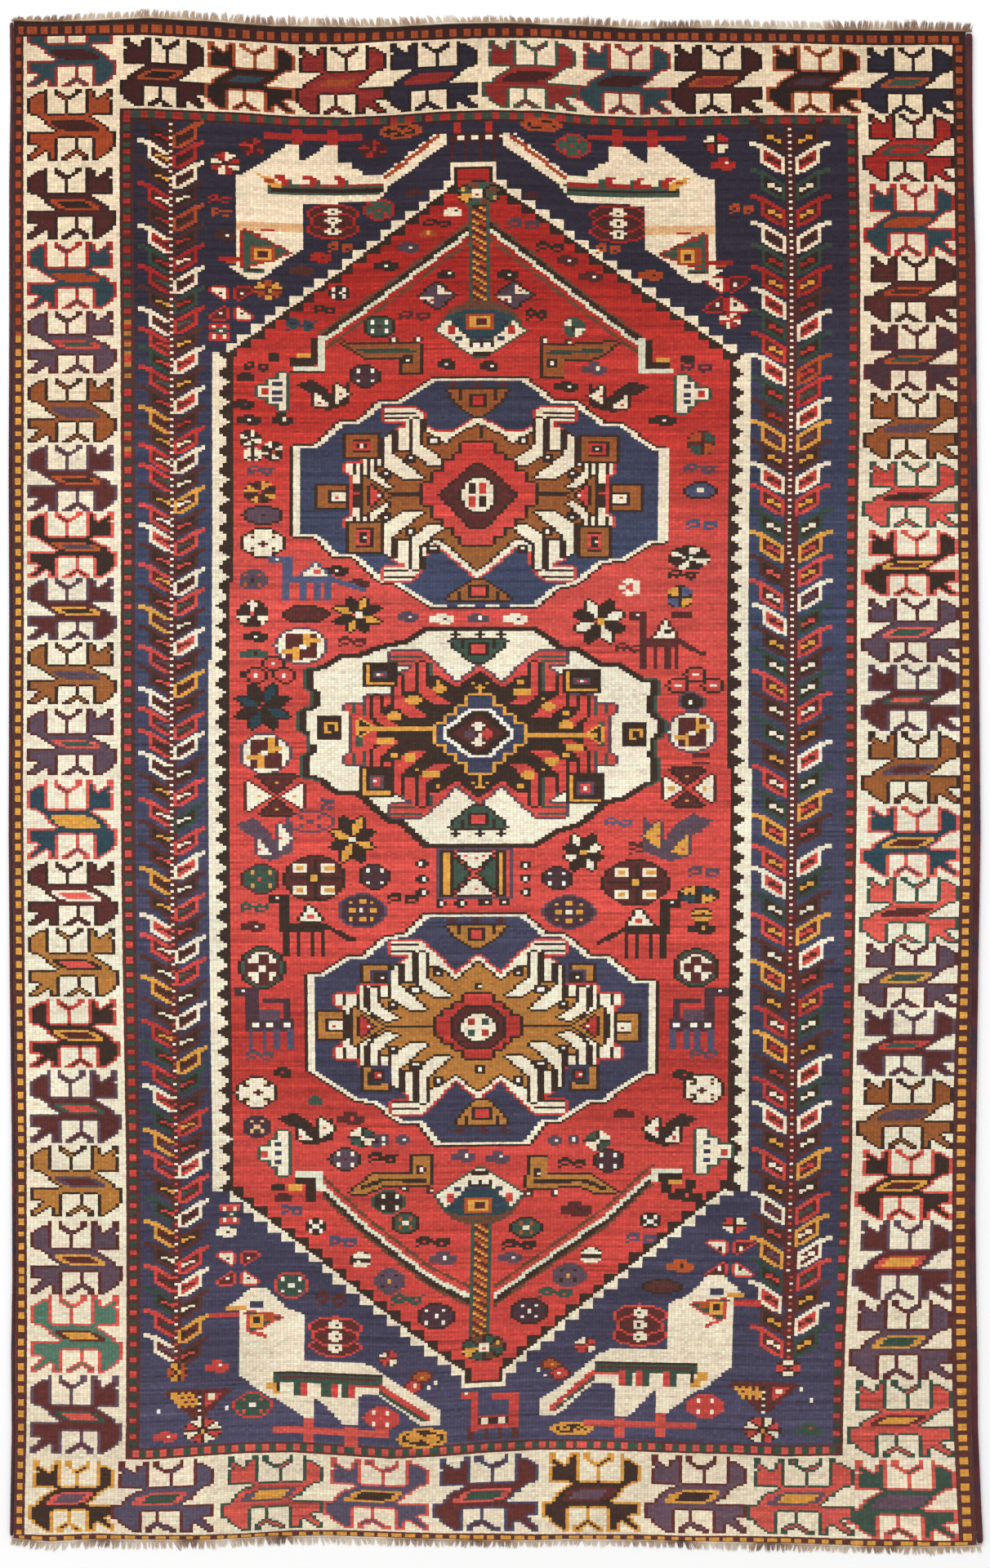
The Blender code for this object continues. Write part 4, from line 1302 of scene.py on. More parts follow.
def small_fillers():
    """The scrolls, bugs, flowers and other small figures between the rest."""
    for box in SCROLLS:
        scroll(*box)
    for *box, yarn, dot in BUGS:
        c, r, wide, tall = middle_of(*box)
        stamp(BUG, c, r, yarn + yarn, "", wide, tall)
        dots([(c + 0.5, r)], dot, 1, 1.4)
    for *box, yarn, edge, dot, hub in DOTTED_OVALS:
        four_dots(*middle_of(*box), yarn, edge, dot, hub)
    for box in CROSS_FLOWERS:
        c, r, wide, tall = middle_of(*box)
        oval(c, r, wide, tall, "i", "k")
        corners = [(c + x * wide * 0.27, r + y * tall * 0.28) for x, y in FOUR_WAYS]
        dots(corners, "k", 1.8, 2.4)
        dots(corners, "a")
        dots([(c, r)], "m", 3, 1)
        dots([(c, r)], "m", 1, 3)
    for *box, petals, yarns, edge, hub in WHEELS:
        rosette(*middle_of(*box), petals, yarns, edge, hub)
    for c0, c1, r0, r1, yarn in ((105, 117, 43, 50, "u"), (145, 157, 41.5, 48.5, "u"),
                                 (110.5, 125.5, 632, 641, "y"), (155, 168, 632, 638.5, "y")):
        c, r, wide, tall = middle_of(c0, c1, r0, r1)
        oval(c, r, wide, tall, yarn)
        oval(c, r, wide - 3, tall - 2.4, "k")
        scroll(c0 + 2.5, c1 - 2.5, r0 + 1.6, r1 - 1.6, yarn)
    dots([(40, 624), (60.3, 624), (228, 615), (231, 620)], "w", 1, 1.6)
    for c, r in ((74.5, 287.5), (69.7, 293), (77.7, 292.7), (195, 292.5), (190, 297.5),
                 (200, 297.5)):
        oval(c, r, 5, 6, "r", "k")
        dots([(c, r)], "w", 1.4, 1.6)
    for c, r in ((108.3, 141), (115.5, 141), (151, 142), (158, 142.3), (116.3, 516),
                 (111.7, 524.5), (119, 525.5), (147.5, 527.5), (155, 527)):
        oval(c, r, 2.8, 3.4, "m")
        dots([(c, r)], "w", 1, 1.4)
    for c, r in ((105.7, 502), (111, 502.5), (155, 503.5), (160.3, 503)):
        oval(c, r, 3.6, 4.4, "v")
        dots([(c, r)], "w", 1, 1.4)
    block(193.5, 198.5, 328, 330, "m")
    block(193.5, 198.5, 331.5, 333, "m")


def four_triangles(c, r, wide, tall, ends, sides, dot):
    """A cross of four triangles whose points meet in the middle."""
    for yarn, way in ((ends, (0, -1)), (ends, (0, 1)), (sides, (-1, 0)), (sides, (1, 0))):
        x, y = way
        out_c, out_r = c + x * wide / 2, r + y * tall / 2
        along = (wide * 0.34 * abs(y), tall * 0.34 * abs(x))
        near_c, near_r = c + x * 1.4, r + y * 1.6
        points = ((out_c - along[0], out_r - along[1]), (out_c + along[0], out_r + along[1]),
                  (near_c, near_r))
        area(points, yarn, "m" if yarn != "m" else "k")
        dots([(c + x * wide * 0.33, r + y * tall * 0.33)], dot, 1.2, 1.6)


def four_squares(c0, c1, r0, r1):
    """Four red squares with pink dots round a green one."""
    c, r, wide, tall = middle_of(c0, c1, r0, r1)
    for x, y in FOUR_WAYS:
        at, down = c + x * wide * 0.28, r + y * tall * 0.3
        block(at - 1.5, at + 1.5, down - 1.6, down + 1.6, "r")
        dots([(at, down)], "i", 1, 1.6)
    block(c - 1.5, c + 1.5, r - 1.5, r + 1.5, "g")
    dots([(c, r)], "w")


def pinwheel_triangles(c0, c1, r0, r1):
    """Four small triangles set in the corners of a box, two ivory and two wine."""
    c, r, wide, tall = middle_of(c0, c1, r0, r1)
    for x, y, yarn in ((-1, -1, "i"), (1, -1, "m"), (1, 1, "i"), (-1, 1, "m")):
        corner = (c + x * wide * 0.46, r + y * tall * 0.44)
        area((corner, (c + x * 1.2, corner[1]), (c + x * 1.2, r + y * 1.4)), yarn, "r")
        dots([(c + x * wide * 0.2, r + y * tall * 0.28)], "k" if yarn == "i" else "w", 1, 1.2)


def tower(c0, c1, r0, r1, side):
    """A stepped ivory tower lying on its side; side is 1 where its foot is right."""
    c, r, wide, tall = middle_of(c0, c1, r0, r1)
    steps = ((0.0, 0.30, 1.0), (0.30, 0.62, 0.62), (0.62, 1.0, 0.28))
    mask = np.zeros(chart.shape, bool)
    for start, stop, height in steps:
        across = sorted((c + side * wide * (0.5 - start), c + side * wide * (0.5 - stop)))
        mask[window(*across, r - tall * height / 2, r + tall * height / 2)] = True
    chart[grow(mask)] = "g"
    chart[mask] = "i"
    for k in (-1, 0, 1):
        at = c + side * wide * 0.18
        block(at - 1.2, at + 1.2, r + k * tall * 0.2 - 1, r + k * tall * 0.2 + 1, "n")
    at = c - side * wide * 0.28
    block(at - 1, at + 1, r - 1.5, r + 1.5, "r")


def tailed_bird(c0, c1, r0, r1, side, body="k", tail="i"):
    """A small dark bird on the red, with bright triangles for its wing and tail."""
    c, r, wide, tall = middle_of(c0, c1, r0, r1)

    def at(points):
        return [(c + side * x * wide, r + y * tall) for x, y in points]

    area(at(((-0.5, -0.3), (-0.2, -0.45), (0.05, -0.2), (0.2, 0.1), (0.5, -0.4),
             (0.5, 0.3), (0.1, 0.5), (-0.15, 0.4), (-0.2, 0), (-0.35, -0.1))), body)
    area(at(((0.24, -0.35), (0.5, 0), (0.24, 0.3))), tail, body)
    area(at(((-0.14, -0.05), (0.12, 0.34), (-0.14, 0.36))), tail, body)
    dots(at([(0.3, 0), (-0.08, 0.25)]), "r", 1, 1.4)


def leaf_star(c0, c1, r0, r1, yarns, hub):
    """Eight pointed leaves by turns, each narrow at the middle."""
    c, r, wide, tall = middle_of(c0, c1, r0, r1)
    for k in range(8):
        angle = math.tau * (k + 0.5) / 8
        x, y = math.cos(angle), math.sin(angle)
        side_x, side_y = -y * 0.2, x * 0.2
        points = [(0.12 * x, 0.12 * y), (0.6 * x + side_x, 0.6 * y + side_y), (x, y),
                  (0.6 * x - side_x, 0.6 * y - side_y)]
        area([(c + u * wide / 2 * 1.08, r + v * tall / 2 * 1.08) for u, v in points],
             yarns[k % len(yarns)], "k")
    block(c - 1, c + 1, r - 1.4, r + 1.4, hub)


def bracket_rosette(c0, c1, r0, r1):
    """A wine oval with ivory brackets, golden squares and a patterned middle."""
    c, r, wide, tall = middle_of(c0, c1, r0, r1)
    oval(c, r, wide, tall, "m", "k")
    for x, y in FOUR_WAYS:
        at, down = c + x * wide * 0.24, r + y * tall * 0.26
        block(at - 2, at + 2, down - 2, down + 2, "i")
        block(at - 1, at + 2 if x > 0 else at + 1, down - 1, down + 1, "y")
    block(c - 0.5, c + 0.5, r0 + 1, r1 - 1, "k")
    block(c0 + 1, c1 - 1, r - 0.5, r + 0.5, "k")
    block(c - 2, c + 2, r - 2.5, r + 2.5, "k")
    block(c - 1, c + 1, r - 1.4, r + 1.4, "y")


def golden_oval(c0, c1, r0, r1):
    """A wine oval quartered by golden angles, ivory in its corners."""
    c, r, wide, tall = middle_of(c0, c1, r0, r1)
    oval(c, r, wide, tall, "i", "v")
    for x, y in ((-1, -1), (1, 1)):
        corner = sorted((c, c + x * wide * 0.34)), sorted((r, r + y * tall * 0.36))
        block(*corner[0], *corner[1], "m")
    for x, y in ((1, -1), (-1, 1)):
        corner = sorted((c, c + x * wide * 0.3)), sorted((r, r + y * tall * 0.4))
        block(*corner[0], *corner[1], "m")
        block(c + x * 1.5 - 0.9, c + x * 1.5 + 0.9, *corner[1], "y")
        across = sorted((c + x * 0.8, c + x * wide * 0.36))
        block(*across, r + y * 2.2 - 1, r + y * 2.2 + 1, "y")
    dots([(c, r)], "w", 2, 2)


def ringed_rosette(c0, c1, r0, r1):
    """A green ring, a wine cross and ivory corners."""
    c, r, wide, tall = middle_of(c0, c1, r0, r1)
    oval(c, r, wide, tall, "g", "k")
    oval(c, r, wide - 3, tall - 4, "i", "m")
    block(c - 1.5, c + 1.5, r0 + 2.5, r1 - 2.5, "m")
    block(c0 + 2, c1 - 2, r - 2, r + 2, "m")
    block(c - 1, c + 1, r - 1.5, r + 1.5, "i")


# Animals seen from the side, their heads to the left, in shares of their boxes.
# columns: from, to (across); from, to (down); the goat's yarns
CAMEL_BARS = (
    (-0.5, -0.24, -0.5, -0.36), (-0.36, -0.24, -0.5, 0.1), (-0.36, 0.16, -0.04, 0.1),
    (-0.34, -0.265, 0.08, 0.5), (-0.18, -0.105, 0.08, 0.5), (-0.02, 0.055, 0.08, 0.5),
    (0.11, 0.185, 0.08, 0.5),
)
GOAT_BARS = (
    (-0.5, -0.16, -0.5, -0.36, "p"), (-0.28, -0.1, -0.5, 0.12, "p"),
    (-0.28, 0.5, 0.0, 0.2, "p"), (0.3, 0.42, -0.3, 0.08, "p"),
    (-0.02, 0.42, -0.32, -0.24, "p"), (-0.1, 0.28, -0.14, 0.02, "v"),
    (-0.26, -0.175, 0.18, 0.5, "s"), (-0.02, 0.065, 0.18, 0.5, "s"),
    (0.16, 0.245, 0.18, 0.5, "s"), (0.4, 0.485, 0.18, 0.5, "s"),
    (-0.2, -0.08, 0.06, 0.13, "w"), (0.05, 0.17, 0.06, 0.13, "w"), (0.3, 0.42, 0.06, 0.13, "w"),
)


def from_the_side(bars, box, side, yarn=None):
    """An animal's bars; side is 1 where its head is on the left, -1 on the right."""
    c, r, wide, tall = middle_of(*box)
    for u0, u1, v0, v1, *own in bars:
        across = sorted((c + side * u0 * wide, c + side * u1 * wide))
        block(*across, r + v0 * tall, r + v1 * tall, *(own or yarn))


def camel(c0, c1, r0, r1, side, yarn, saddle, heart):
    """A saddled animal; side as in from_the_side."""
    from_the_side(CAMEL_BARS, (c0, c1, r0, r1), side, yarn)
    c, r, wide, tall = middle_of(c0, c1, r0, r1)
    tail = ((c + side * 0.16 * wide, r), (c + side * 0.5 * wide, r + 0.24 * tall))
    stroke(tail, yarn, 1, 2)
    low = r - 0.05 * tall
    area(((c + side * -0.16 * wide, low), (c + side * 0.14 * wide, low), (c, r - 0.34 * tall)),
         saddle, yarn)
    dots([(c, r - 0.14 * tall)], heart, 2, 2)
    dots([(c - side * 0.4 * wide, r - 0.44 * tall)], "w", 1, 1.4)


def goat(c0, c1, r0, r1, side):
    """A horned animal; side as in from_the_side."""
    from_the_side(GOAT_BARS, (c0, c1, r0, r1), side)
    c, r, wide, tall = middle_of(c0, c1, r0, r1)
    dots([(c - side * 0.34 * wide, r - 0.44 * tall)], "w", 1, 1.4)


def dotted_oval(c0, c1, r0, r1):
    """An aubergine oval with eight golden dots round an ivory one."""
    c, r, wide, tall = middle_of(c0, c1, r0, r1)
    four_dots(c, r, wide, tall, "p", "v", "y", "i")
    dots([(c - 3, r), (c + 3, r), (c, r - 4), (c, r + 4)], "y", 1.6, 1.6)


def violet_diamond(c, r):
    """A diamond with an ivory triangle and a red dot in two of its quarters."""
    area(((c - 5, r), (c, r - 6), (c + 5, r), (c, r + 6)), "v", "k")
    area(((c - 4.5, r + 1), (c - 0.5, r), (c - 0.5, r + 4.5)), "i")
    area(((c + 0.5, r - 5), (c + 4.5, r - 1), (c + 0.5, r - 0.5)), "i")
    dots([(c - 2, r + 2), (c + 2, r - 2)], "r")


# Each drawing and the places it is laid in, in this order.
LARGER_FILLERS = (
    (pinwheel_triangles, (55.5, 69.5, 117, 133), (196, 210, 112.5, 128.5),
     (56.5, 70.5, 553, 569), (199.5, 213.5, 548.5, 564.5)),
    (four_squares, (55.5, 62.5, 134, 141.5), (57.5, 64.5, 532, 541)),
    (tower, (70, 78, 156, 173, 1), (189, 197.5, 157, 174, -1), (69.5, 77.5, 499, 519, 1),
     (195.5, 206, 498, 518, -1)),
    (tailed_bird, (81, 96, 158, 173, 1), (164, 181, 159, 174, -1), (64, 80, 356, 377, 1, "v"),
     (180, 200, 354, 377, -1, "v", "y"), (75, 91.5, 490, 505.5, 1), (181, 196, 490, 506, -1)),
    (leaf_star, (92, 105, 257, 274, "yk", "i"), (91, 103, 357, 377, "yk", "i"),
     (160, 175, 259, 278, "ki", "y"), (157, 169, 365, 381, "ki", "y"),
     (64, 79, 297, 317.5, "tk", "k")),
    (bracket_rosette, (78, 94.5, 375, 394.5), (169, 187, 377, 396.5)),
    (golden_oval, (75.5, 89.5, 272, 287), (187.5, 200.5, 310, 327), (65.5, 79, 319.5, 337)),
    (ringed_rosette, (65, 77, 416, 434), (189.5, 201.5, 417, 433.5)),
    (dotted_oval, (93.5, 106, 392, 406.5), (152, 166, 393, 407)),
    (four_triangles, (75.5, 347.5, 16, 18, "m", "i", "y"), (192.7, 344, 14, 17, "m", "i", "y")),
    (camel, (73, 100, 239, 259, 1, "s", "i", "r"), (176, 197, 264, 290, 1, "m", "i", "k"),
     (73, 97, 392, 419.5, 1, "k", "i", "r"), (167, 191, 394, 421, -1, "k", "i", "r")),
    (block, (188, 194, 264, 267, "m")),
    (goat, (62.5, 80, 434, 462, 1), (188, 205, 434, 462, -1)),
    (violet_diamond, (121, 121.5), (142.8, 121.5)),
)


def larger_fillers():
    """The animals and the other larger figures between the rest."""
    for draw, *places in LARGER_FILLERS:
        for place in places:
            draw(*place)


# columns: outline of the slanting band; its middle line; post; white knot
UPPER_HOOKS = (
    (((93, 142), (100, 143.5), (116, 143.5), (116, 149.5), (100, 148.5)),
     ((98, 145.6), (114.5, 146.4)), (110.5, 116, 149, 156), (112.8, 150.4)),
    (((172, 142), (165, 143), (151, 144.5), (151, 150), (165, 149.5), (169, 147)),
     ((152.8, 147.3), (167, 145.8)), (151, 156.5, 149, 157.5), (153.2, 151.8)),
)
LOWER_HOOKS = (
    (((95, 527.5), (103, 517.5), (119, 518.5), (119, 523.5), (106, 522.8), (100, 527)),
     ((99.5, 524), (105, 520.4), (117, 521)), (113.5, 119, 509.5, 519), (116, 516.4)),
    (((174, 527.5), (165, 519), (147.5, 519.5), (147.5, 525.3), (162, 524), (168, 527.5)),
     ((149, 522.3), (163, 521.5), (169, 525)), (147.5, 152.7, 511, 520), (150, 518.4)),
)


def golden_hooks():
    """The four slanting bands with a post: brown at the top, ochre at the bottom."""
    for hooks, yarn, line in ((UPPER_HOOKS, "b", "f"), (LOWER_HOOKS, "o", "k")):
        for band, middle, post, knot in hooks:
            block(post[0] - 0.7, post[1] + 0.7, post[2] - 1, post[3] + 1, "k")
            area(band, yarn, "k")
            block(*post, yarn)
            stroke(middle, line, 1, 1.6)
            block(knot[0] - 1.4, knot[0] + 1.4, knot[1] - 2, knot[1] + 2, "k")
            dots([knot], "w", 1, 1.4)


def little_table():
    """The little ivory table under the middle medallion, with its pins."""
    block(121, 143, 370.5, 394, "v")
    block(122, 142, 371.5, 393, "r")
    for c0, c1 in ((123, 124.8), (138.6, 140.4)):
        block(c0 - 1, c1 + 1, 372, 393, "k")
        block(c0, c1, 373, 392, "y")
    for points in (((126.5, 373), (137.5, 373), (132, 381)),
                   ((126.5, 392), (137.5, 392), (132, 384))):
        area(points, "i", "k")
    area(((126, 375), (130.5, 382.5), (126, 390)), "g", "k")
    area(((138, 375), (133.5, 382.5), (138, 390)), "g", "k")
    dots([(132, 375.5), (132, 389.5), (129.5, 374.5), (134.5, 374.5)], "r", 1, 1.4)
    for c, r in ((116.8, 378), (117, 384.7), (117, 391), (146.7, 378.7), (146.7, 384.7),
                 (146.7, 391), (122.3, 396), (128, 396), (135, 395.5), (140.7, 395.5)):
        oval(c, r, 3.6, 4, "k")
        dots([(c, r)], "w", 1, 1.6)


# columns: from, to (across); from, to (down)
RED_GOAT = (
    (128.5, 134, 616.6, 619.6), (131.6, 134, 618, 634.5), (138, 145.6, 618.3, 620.8),
    (143, 145.6, 620, 632.5), (134, 143, 627.8, 629.3), (131.6, 145.6, 631.8, 633.6),
)


def red_goat():
    """The red animal in the dark field under the hexagon, and flowers at both sides."""
    block(129.3, 142, 613.4, 614.9, "i")
    for c in (131, 135.5, 139.7, 144):
        block(c, c + 1.6, 633, 638.6, "d")
    for box in RED_GOAT:
        block(*box, "r")
    block(134, 143, 629.3, 631.8, "k")
    for c in (135, 139.6):
        block(c, c + 2, 629.3, 632, "i")
    dots([(130.8, 617.4)], "i")
    for c, r, side in ((117.5, 609.3, 1), (155.3, 605.4, -1)):
        oval(c, r, 4.6, 4.4, "u", "m")
        dots([(c, r)], "y", 1.4, 1.4)
        oval(c - side * 2.5, r + 4.2, 4.8, 4.8, "r", "m")
        dots([(c - side * 2, r + 4), (c + side * 1.8, r + 5), (c + side * 3.7, r + 2.8)], "i",
             1.4, 1.8)


for lay in (borders, guard_bands, trees, hexagon, chevrons, golden_hooks, poles, gate,
            small_fillers, larger_fillers, little_table, red_goat, insects, four_birds,
            first_medallion, second_medallion, third_medallion):
    lay()


def linear(hex_colour):
    """An sRGB hex colour as linear red, green and blue."""
    parts = [int(hex_colour[k:k + 2], 16) / 255 for k in (1, 3, 5)]
    return tuple(p / 12.92 if p < 0.04045 else ((p + 0.055) / 1.055) ** 2.4 for p in parts)


# Hand-spun yarn takes the dye unevenly. Shares of its light, from the same dye.
STREAKED_YARNS = "rcn"
STRONG_STREAK, FAINT_STREAK = 0.15, 0.055   # along a row, by how the yarn takes dye
STREAK_STEPS = 14               # places across the rug where a streak may change
KNOT_TONE, KNOT_HUE = 0.085, 0.025      # from knot to knot


def wool_colours():
    """The chart in dyed wool: dye lots down the rug, and a little from knot to knot."""
    grain = np.random.default_rng(7)
    colours = np.zeros((ROWS, COLUMNS, 3))
    for yarn, shade in YARNS.items():
        colours[chart == yarn] = linear(shade)
    (madder, red_pale, indigo, blueness, darks, light,
     pale) = table_lines(DYE_LOTS, np.arange(ROWS))
    # yarns of one lot, their light, how much of their blue stays, and of their green as
    # a power of that
    lots = [("rc", madder, red_pale, 0.85), ("ns", indigo, blueness, 0.85),
            ("kmdpv", darks, pale, 0.85), ("ub", (1 + madder) / 2, (1 + red_pale) / 2, 0.85)]
    others = set(YARNS).difference(*(lot[0] for lot in lots))
    for yarns, strength, keep, power in (*lots, (others, light, pale, 0.5)):
        one_lot = np.isin(chart, list(yarns))
        part = np.stack((strength, strength * keep ** power, strength * keep), -1)
        colours = np.where(one_lot[..., None], colours * part[:, None], colours)
    streak_ends = np.linspace(0, COLUMNS - 1, STREAK_STEPS)
    streaks = np.array([np.interp(np.arange(COLUMNS), streak_ends, line)
                        for line in grain.normal(0, 1, (ROWS, STREAK_STEPS))])
    streaked = np.isin(chart, list(STREAKED_YARNS))
    colours *= (1 + streaks * np.where(streaked, STRONG_STREAK, FAINT_STREAK))[..., None]
    colours *= grain.normal(1, KNOT_TONE, chart.shape)[..., None]
    colours *= grain.normal(1, KNOT_HUE, colours.shape)
    return np.clip(colours, 0.004, 0.95)


def cloth_grid(columns, rows, places, heights, foot):
    """A grid of faces at the given places, closed by walls and one flat face."""
    bm = bmesh.new()
    bmesh.ops.create_grid(bm, x_segments=columns, y_segments=rows, size=0.5)
    across = bm.verts.layers.float.new("across")
    down = bm.verts.layers.float.new("down")
    for vert in bm.verts:
        c = near((vert.co.x + 0.5) * columns)
        r = near((0.5 - vert.co.y) * rows)
        vert[across], vert[down] = c, r
        vert.co = (places[0][r, c], places[1][r, c], heights[r, c])
    rim = [edge for edge in bm.edges if edge.is_boundary]
    hem = bmesh.ops.extrude_edge_only(bm, edges=rim)["geom"]
    for item in hem:
        if isinstance(item, bmesh.types.BMVert):
            item.co.z = foot
    hem_edges = [edge for edge in bm.edges if edge.is_boundary]
    bmesh.ops.contextual_create(bm, geom=hem_edges)
    bmesh.ops.recalc_face_normals(bm, faces=bm.faces)
    return bm


def finish_piece(name, mesh, material):
    """The mesh as a piece at the origin, riding on the rug's one body."""
    piece = bpy.data.objects.new(name, mesh)
    bpy.context.scene.collection.objects.link(piece)
    mesh.materials.clear()
    mesh.materials.append(material)
    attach(piece, "root")
    return piece


def dye_faces(mesh, colours, columns, rows, folds):
    """Give each face its knot's yarn, its place in the knots and its baking place."""
    corners = np.empty(len(mesh.loops), int)
    mesh.loops.foreach_get("vertex_index", corners)
    starts = np.empty(len(mesh.polygons), int)
    mesh.polygons.foreach_get("loop_start", starts)
    places = []
    for layer in ("across", "down"):
        values = np.empty(len(mesh.vertices))
        mesh.attributes[layer].data.foreach_get("value", values)
        places.append(values[corners])
    across, down = places
    counts = np.diff(np.append(starts, len(corners)))
    middle_c = np.add.reduceat(across, starts) / counts
    middle_r = np.add.reduceat(down, starts) / counts
    c = np.clip(middle_c.astype(int), 0, columns - 1)
    r = np.clip(middle_r.astype(int), 0, rows - 1)
    paint = np.ones((len(starts), 4))
    paint[:, :3] = colours[r, c]
    mesh.attributes.new("dye", "FLOAT_COLOR", "FACE").data.foreach_set("color", paint.ravel())
    mesh.uv_layers.new(name="OFBake")
    mesh.uv_layers.new(name="knots")
    weave = np.stack([across, down], -1)
    mesh.uv_layers["knots"].uv.foreach_set("vector", weave.ravel())
    # a long strip is cut across and laid in columns side by side, the hidden face
    # goes in a corner
    fold = np.repeat(np.minimum(middle_r * folds // rows, folds - 1), counts)
    u = (fold + 0.02 + 0.96 * across / columns) / folds
    v = 0.01 + 0.98 * (down * folds / rows - fold)
    hidden = np.repeat(counts > 4, counts)
    u = np.where(hidden, 0.005 * across / columns / folds, u)
    v = np.where(hidden, 0.005 * down / rows, v)
    mesh.uv_layers["OFBake"].uv.foreach_set("vector", np.stack([u, v], -1).ravel())
    mesh.update()


def knot_spots():
    """Places of the knots' corners, each a little off its line."""
    grain = np.random.default_rng(12)
    c, r = np.meshgrid(np.arange(COLUMNS + 1) - EDGE, np.arange(ROWS + 1))
    x, y = knot_place(c, r)
    inner = np.zeros(c.shape)
    inner[1:-1, 1:-1] = 1
    x = x + inner * grain.normal(0, KNOT_JITTER * 0.5, c.shape)
    y = y + inner * grain.normal(0, KNOT_JITTER * 0.4, c.shape)
    return x, y


def pile_strips(material):
    """The cut pile in lengthwise pieces, each knot a face a little off its neighbours."""
    grain = np.random.default_rng(21)
    x, y = knot_spots()
    heights = PILE_TOP + grain.normal(0, PILE_JITTER, x.shape)
    for depth, share in RIM_SHARES:
        for side in (slice(depth, depth + 1), slice(-1 - depth, None if depth == 0 else -depth)):
            heights[side, :] = np.minimum(heights[side, :], PILE_TOP - RIM_DROP * share)
            heights[:, side] = np.minimum(heights[:, side], PILE_TOP - RIM_DROP * share)
    colours = wool_colours()
    strips = []
    cuts = [round(COLUMNS * k / STRIPS) for k in range(STRIPS + 1)]
    for number, (first, last) in enumerate(zip(cuts, cuts[1:])):
        part = slice(first, last + 1)
        bm = cloth_grid(last - first, ROWS, (x[:, part], y[:, part]), heights[:, part],
                        PILE_FOOT)
        mesh = bpy.data.meshes.new(f"pile_{number + 1}")
        bm.to_mesh(mesh)
        bm.free()
        dye_faces(mesh, colours[:, first:last], last - first, ROWS, 2)
        strips.append(finish_piece(f"pile_{number + 1}", mesh, material))
    return strips


def foundation(material):
    """The woven back: every knot shows there too, flatter and duller."""
    x, y = knot_spots()
    x, y = x[::FOUNDATION_ROWS], y[::FOUNDATION_ROWS]
    bm = cloth_grid(COLUMNS, ROWS // FOUNDATION_ROWS, (x, y), np.zeros(x.shape),
                    FOUNDATION_TOP)
    mesh = bpy.data.meshes.new("foundation")
    bm.to_mesh(mesh)
    bm.free()
    backs = wool_colours()[::FOUNDATION_ROWS]
    dye_faces(mesh, backs, COLUMNS, ROWS // FOUNDATION_ROWS, 1)
    return finish_piece("foundation", mesh, material)


# ------------------------------------------------------------ cords and fringes
# How far the fringe reaches past the pile, and how far its tips lean to +X.
# columns: millimetres across, fringe length in millimetres, lean in millimetres
TOP_FRINGE = ((-776, 9, 1), (-700, 14, 3), (-550, 18, 3), (-400, 20, 2), (-200, 20, -2),
              (-60, 16, -3), (50, 15, 1), (150, 18, 2), (300, 17, 1), (520, 19, -2),
              (700, 20, 2), (776, 15, 5))
BOTTOM_FRINGE = ((-776, 17, -6), (-700, 19, -2), (-550, 20, 1), (-400, 18, 2),
                 (-265, 19, 3), (-120, 17, 1), (0, 16, -1), (240, 16, 2), (360, 18, 3),
                 (470, 17, -2), (600, 16, 1), (700, 18, 1), (776, 16, 4))
# Each end web, side cord and fringe: its size in metres and which way it stands out.
WEB = {"width": 0.0035, "height": 0.0036}
CORDS = {
    "selvedge_left": {"column": 0, "side": -1, "width": 0.0060, "height": 0.0060},
    "selvedge_right": {"column": COLUMNS, "side": 1, "width": 0.0110, "height": 0.0075},
}
FRINGES = {
    "fringe_top": {"row": 0, "end": 1, "reach": TOP_FRINGE, "seed": 31},
    "fringe_bottom": {"row": ROWS, "end": -1, "reach": BOTTOM_FRINGE, "seed": 32},
}


def mesh_of_curve(name, curve):
    """The curve's tube as a mesh in its own place."""
    guide = bpy.data.objects.new(name, curve)
    bpy.context.scene.collection.objects.link(guide)
    depsgraph = bpy.context.evaluated_depsgraph_get()
    mesh = bpy.data.meshes.new_from_object(guide.evaluated_get(depsgraph))
    bpy.data.objects.remove(guide)
    bpy.data.curves.remove(curve)
    mesh.name = name
    return mesh


def add_run(curve, points, radii):
    """One straight-edged run of the tube through the points."""
    spline = curve.splines.new("POLY")
    spline.points.add(len(points) - 1)
    for spot, place, radius in zip(spline.points, points, radii):
        spot.co = (*place, 1)
        spot.radius = radius


def tube_curve(name, depth, resolution):
    """An empty round tube, to be given its runs of points."""
    curve = bpy.data.curves.new(name, "CURVE")
    curve.dimensions = "3D"
    curve.bevel_depth = depth
    curve.bevel_resolution = resolution
    curve.use_fill_caps = True
    return curve


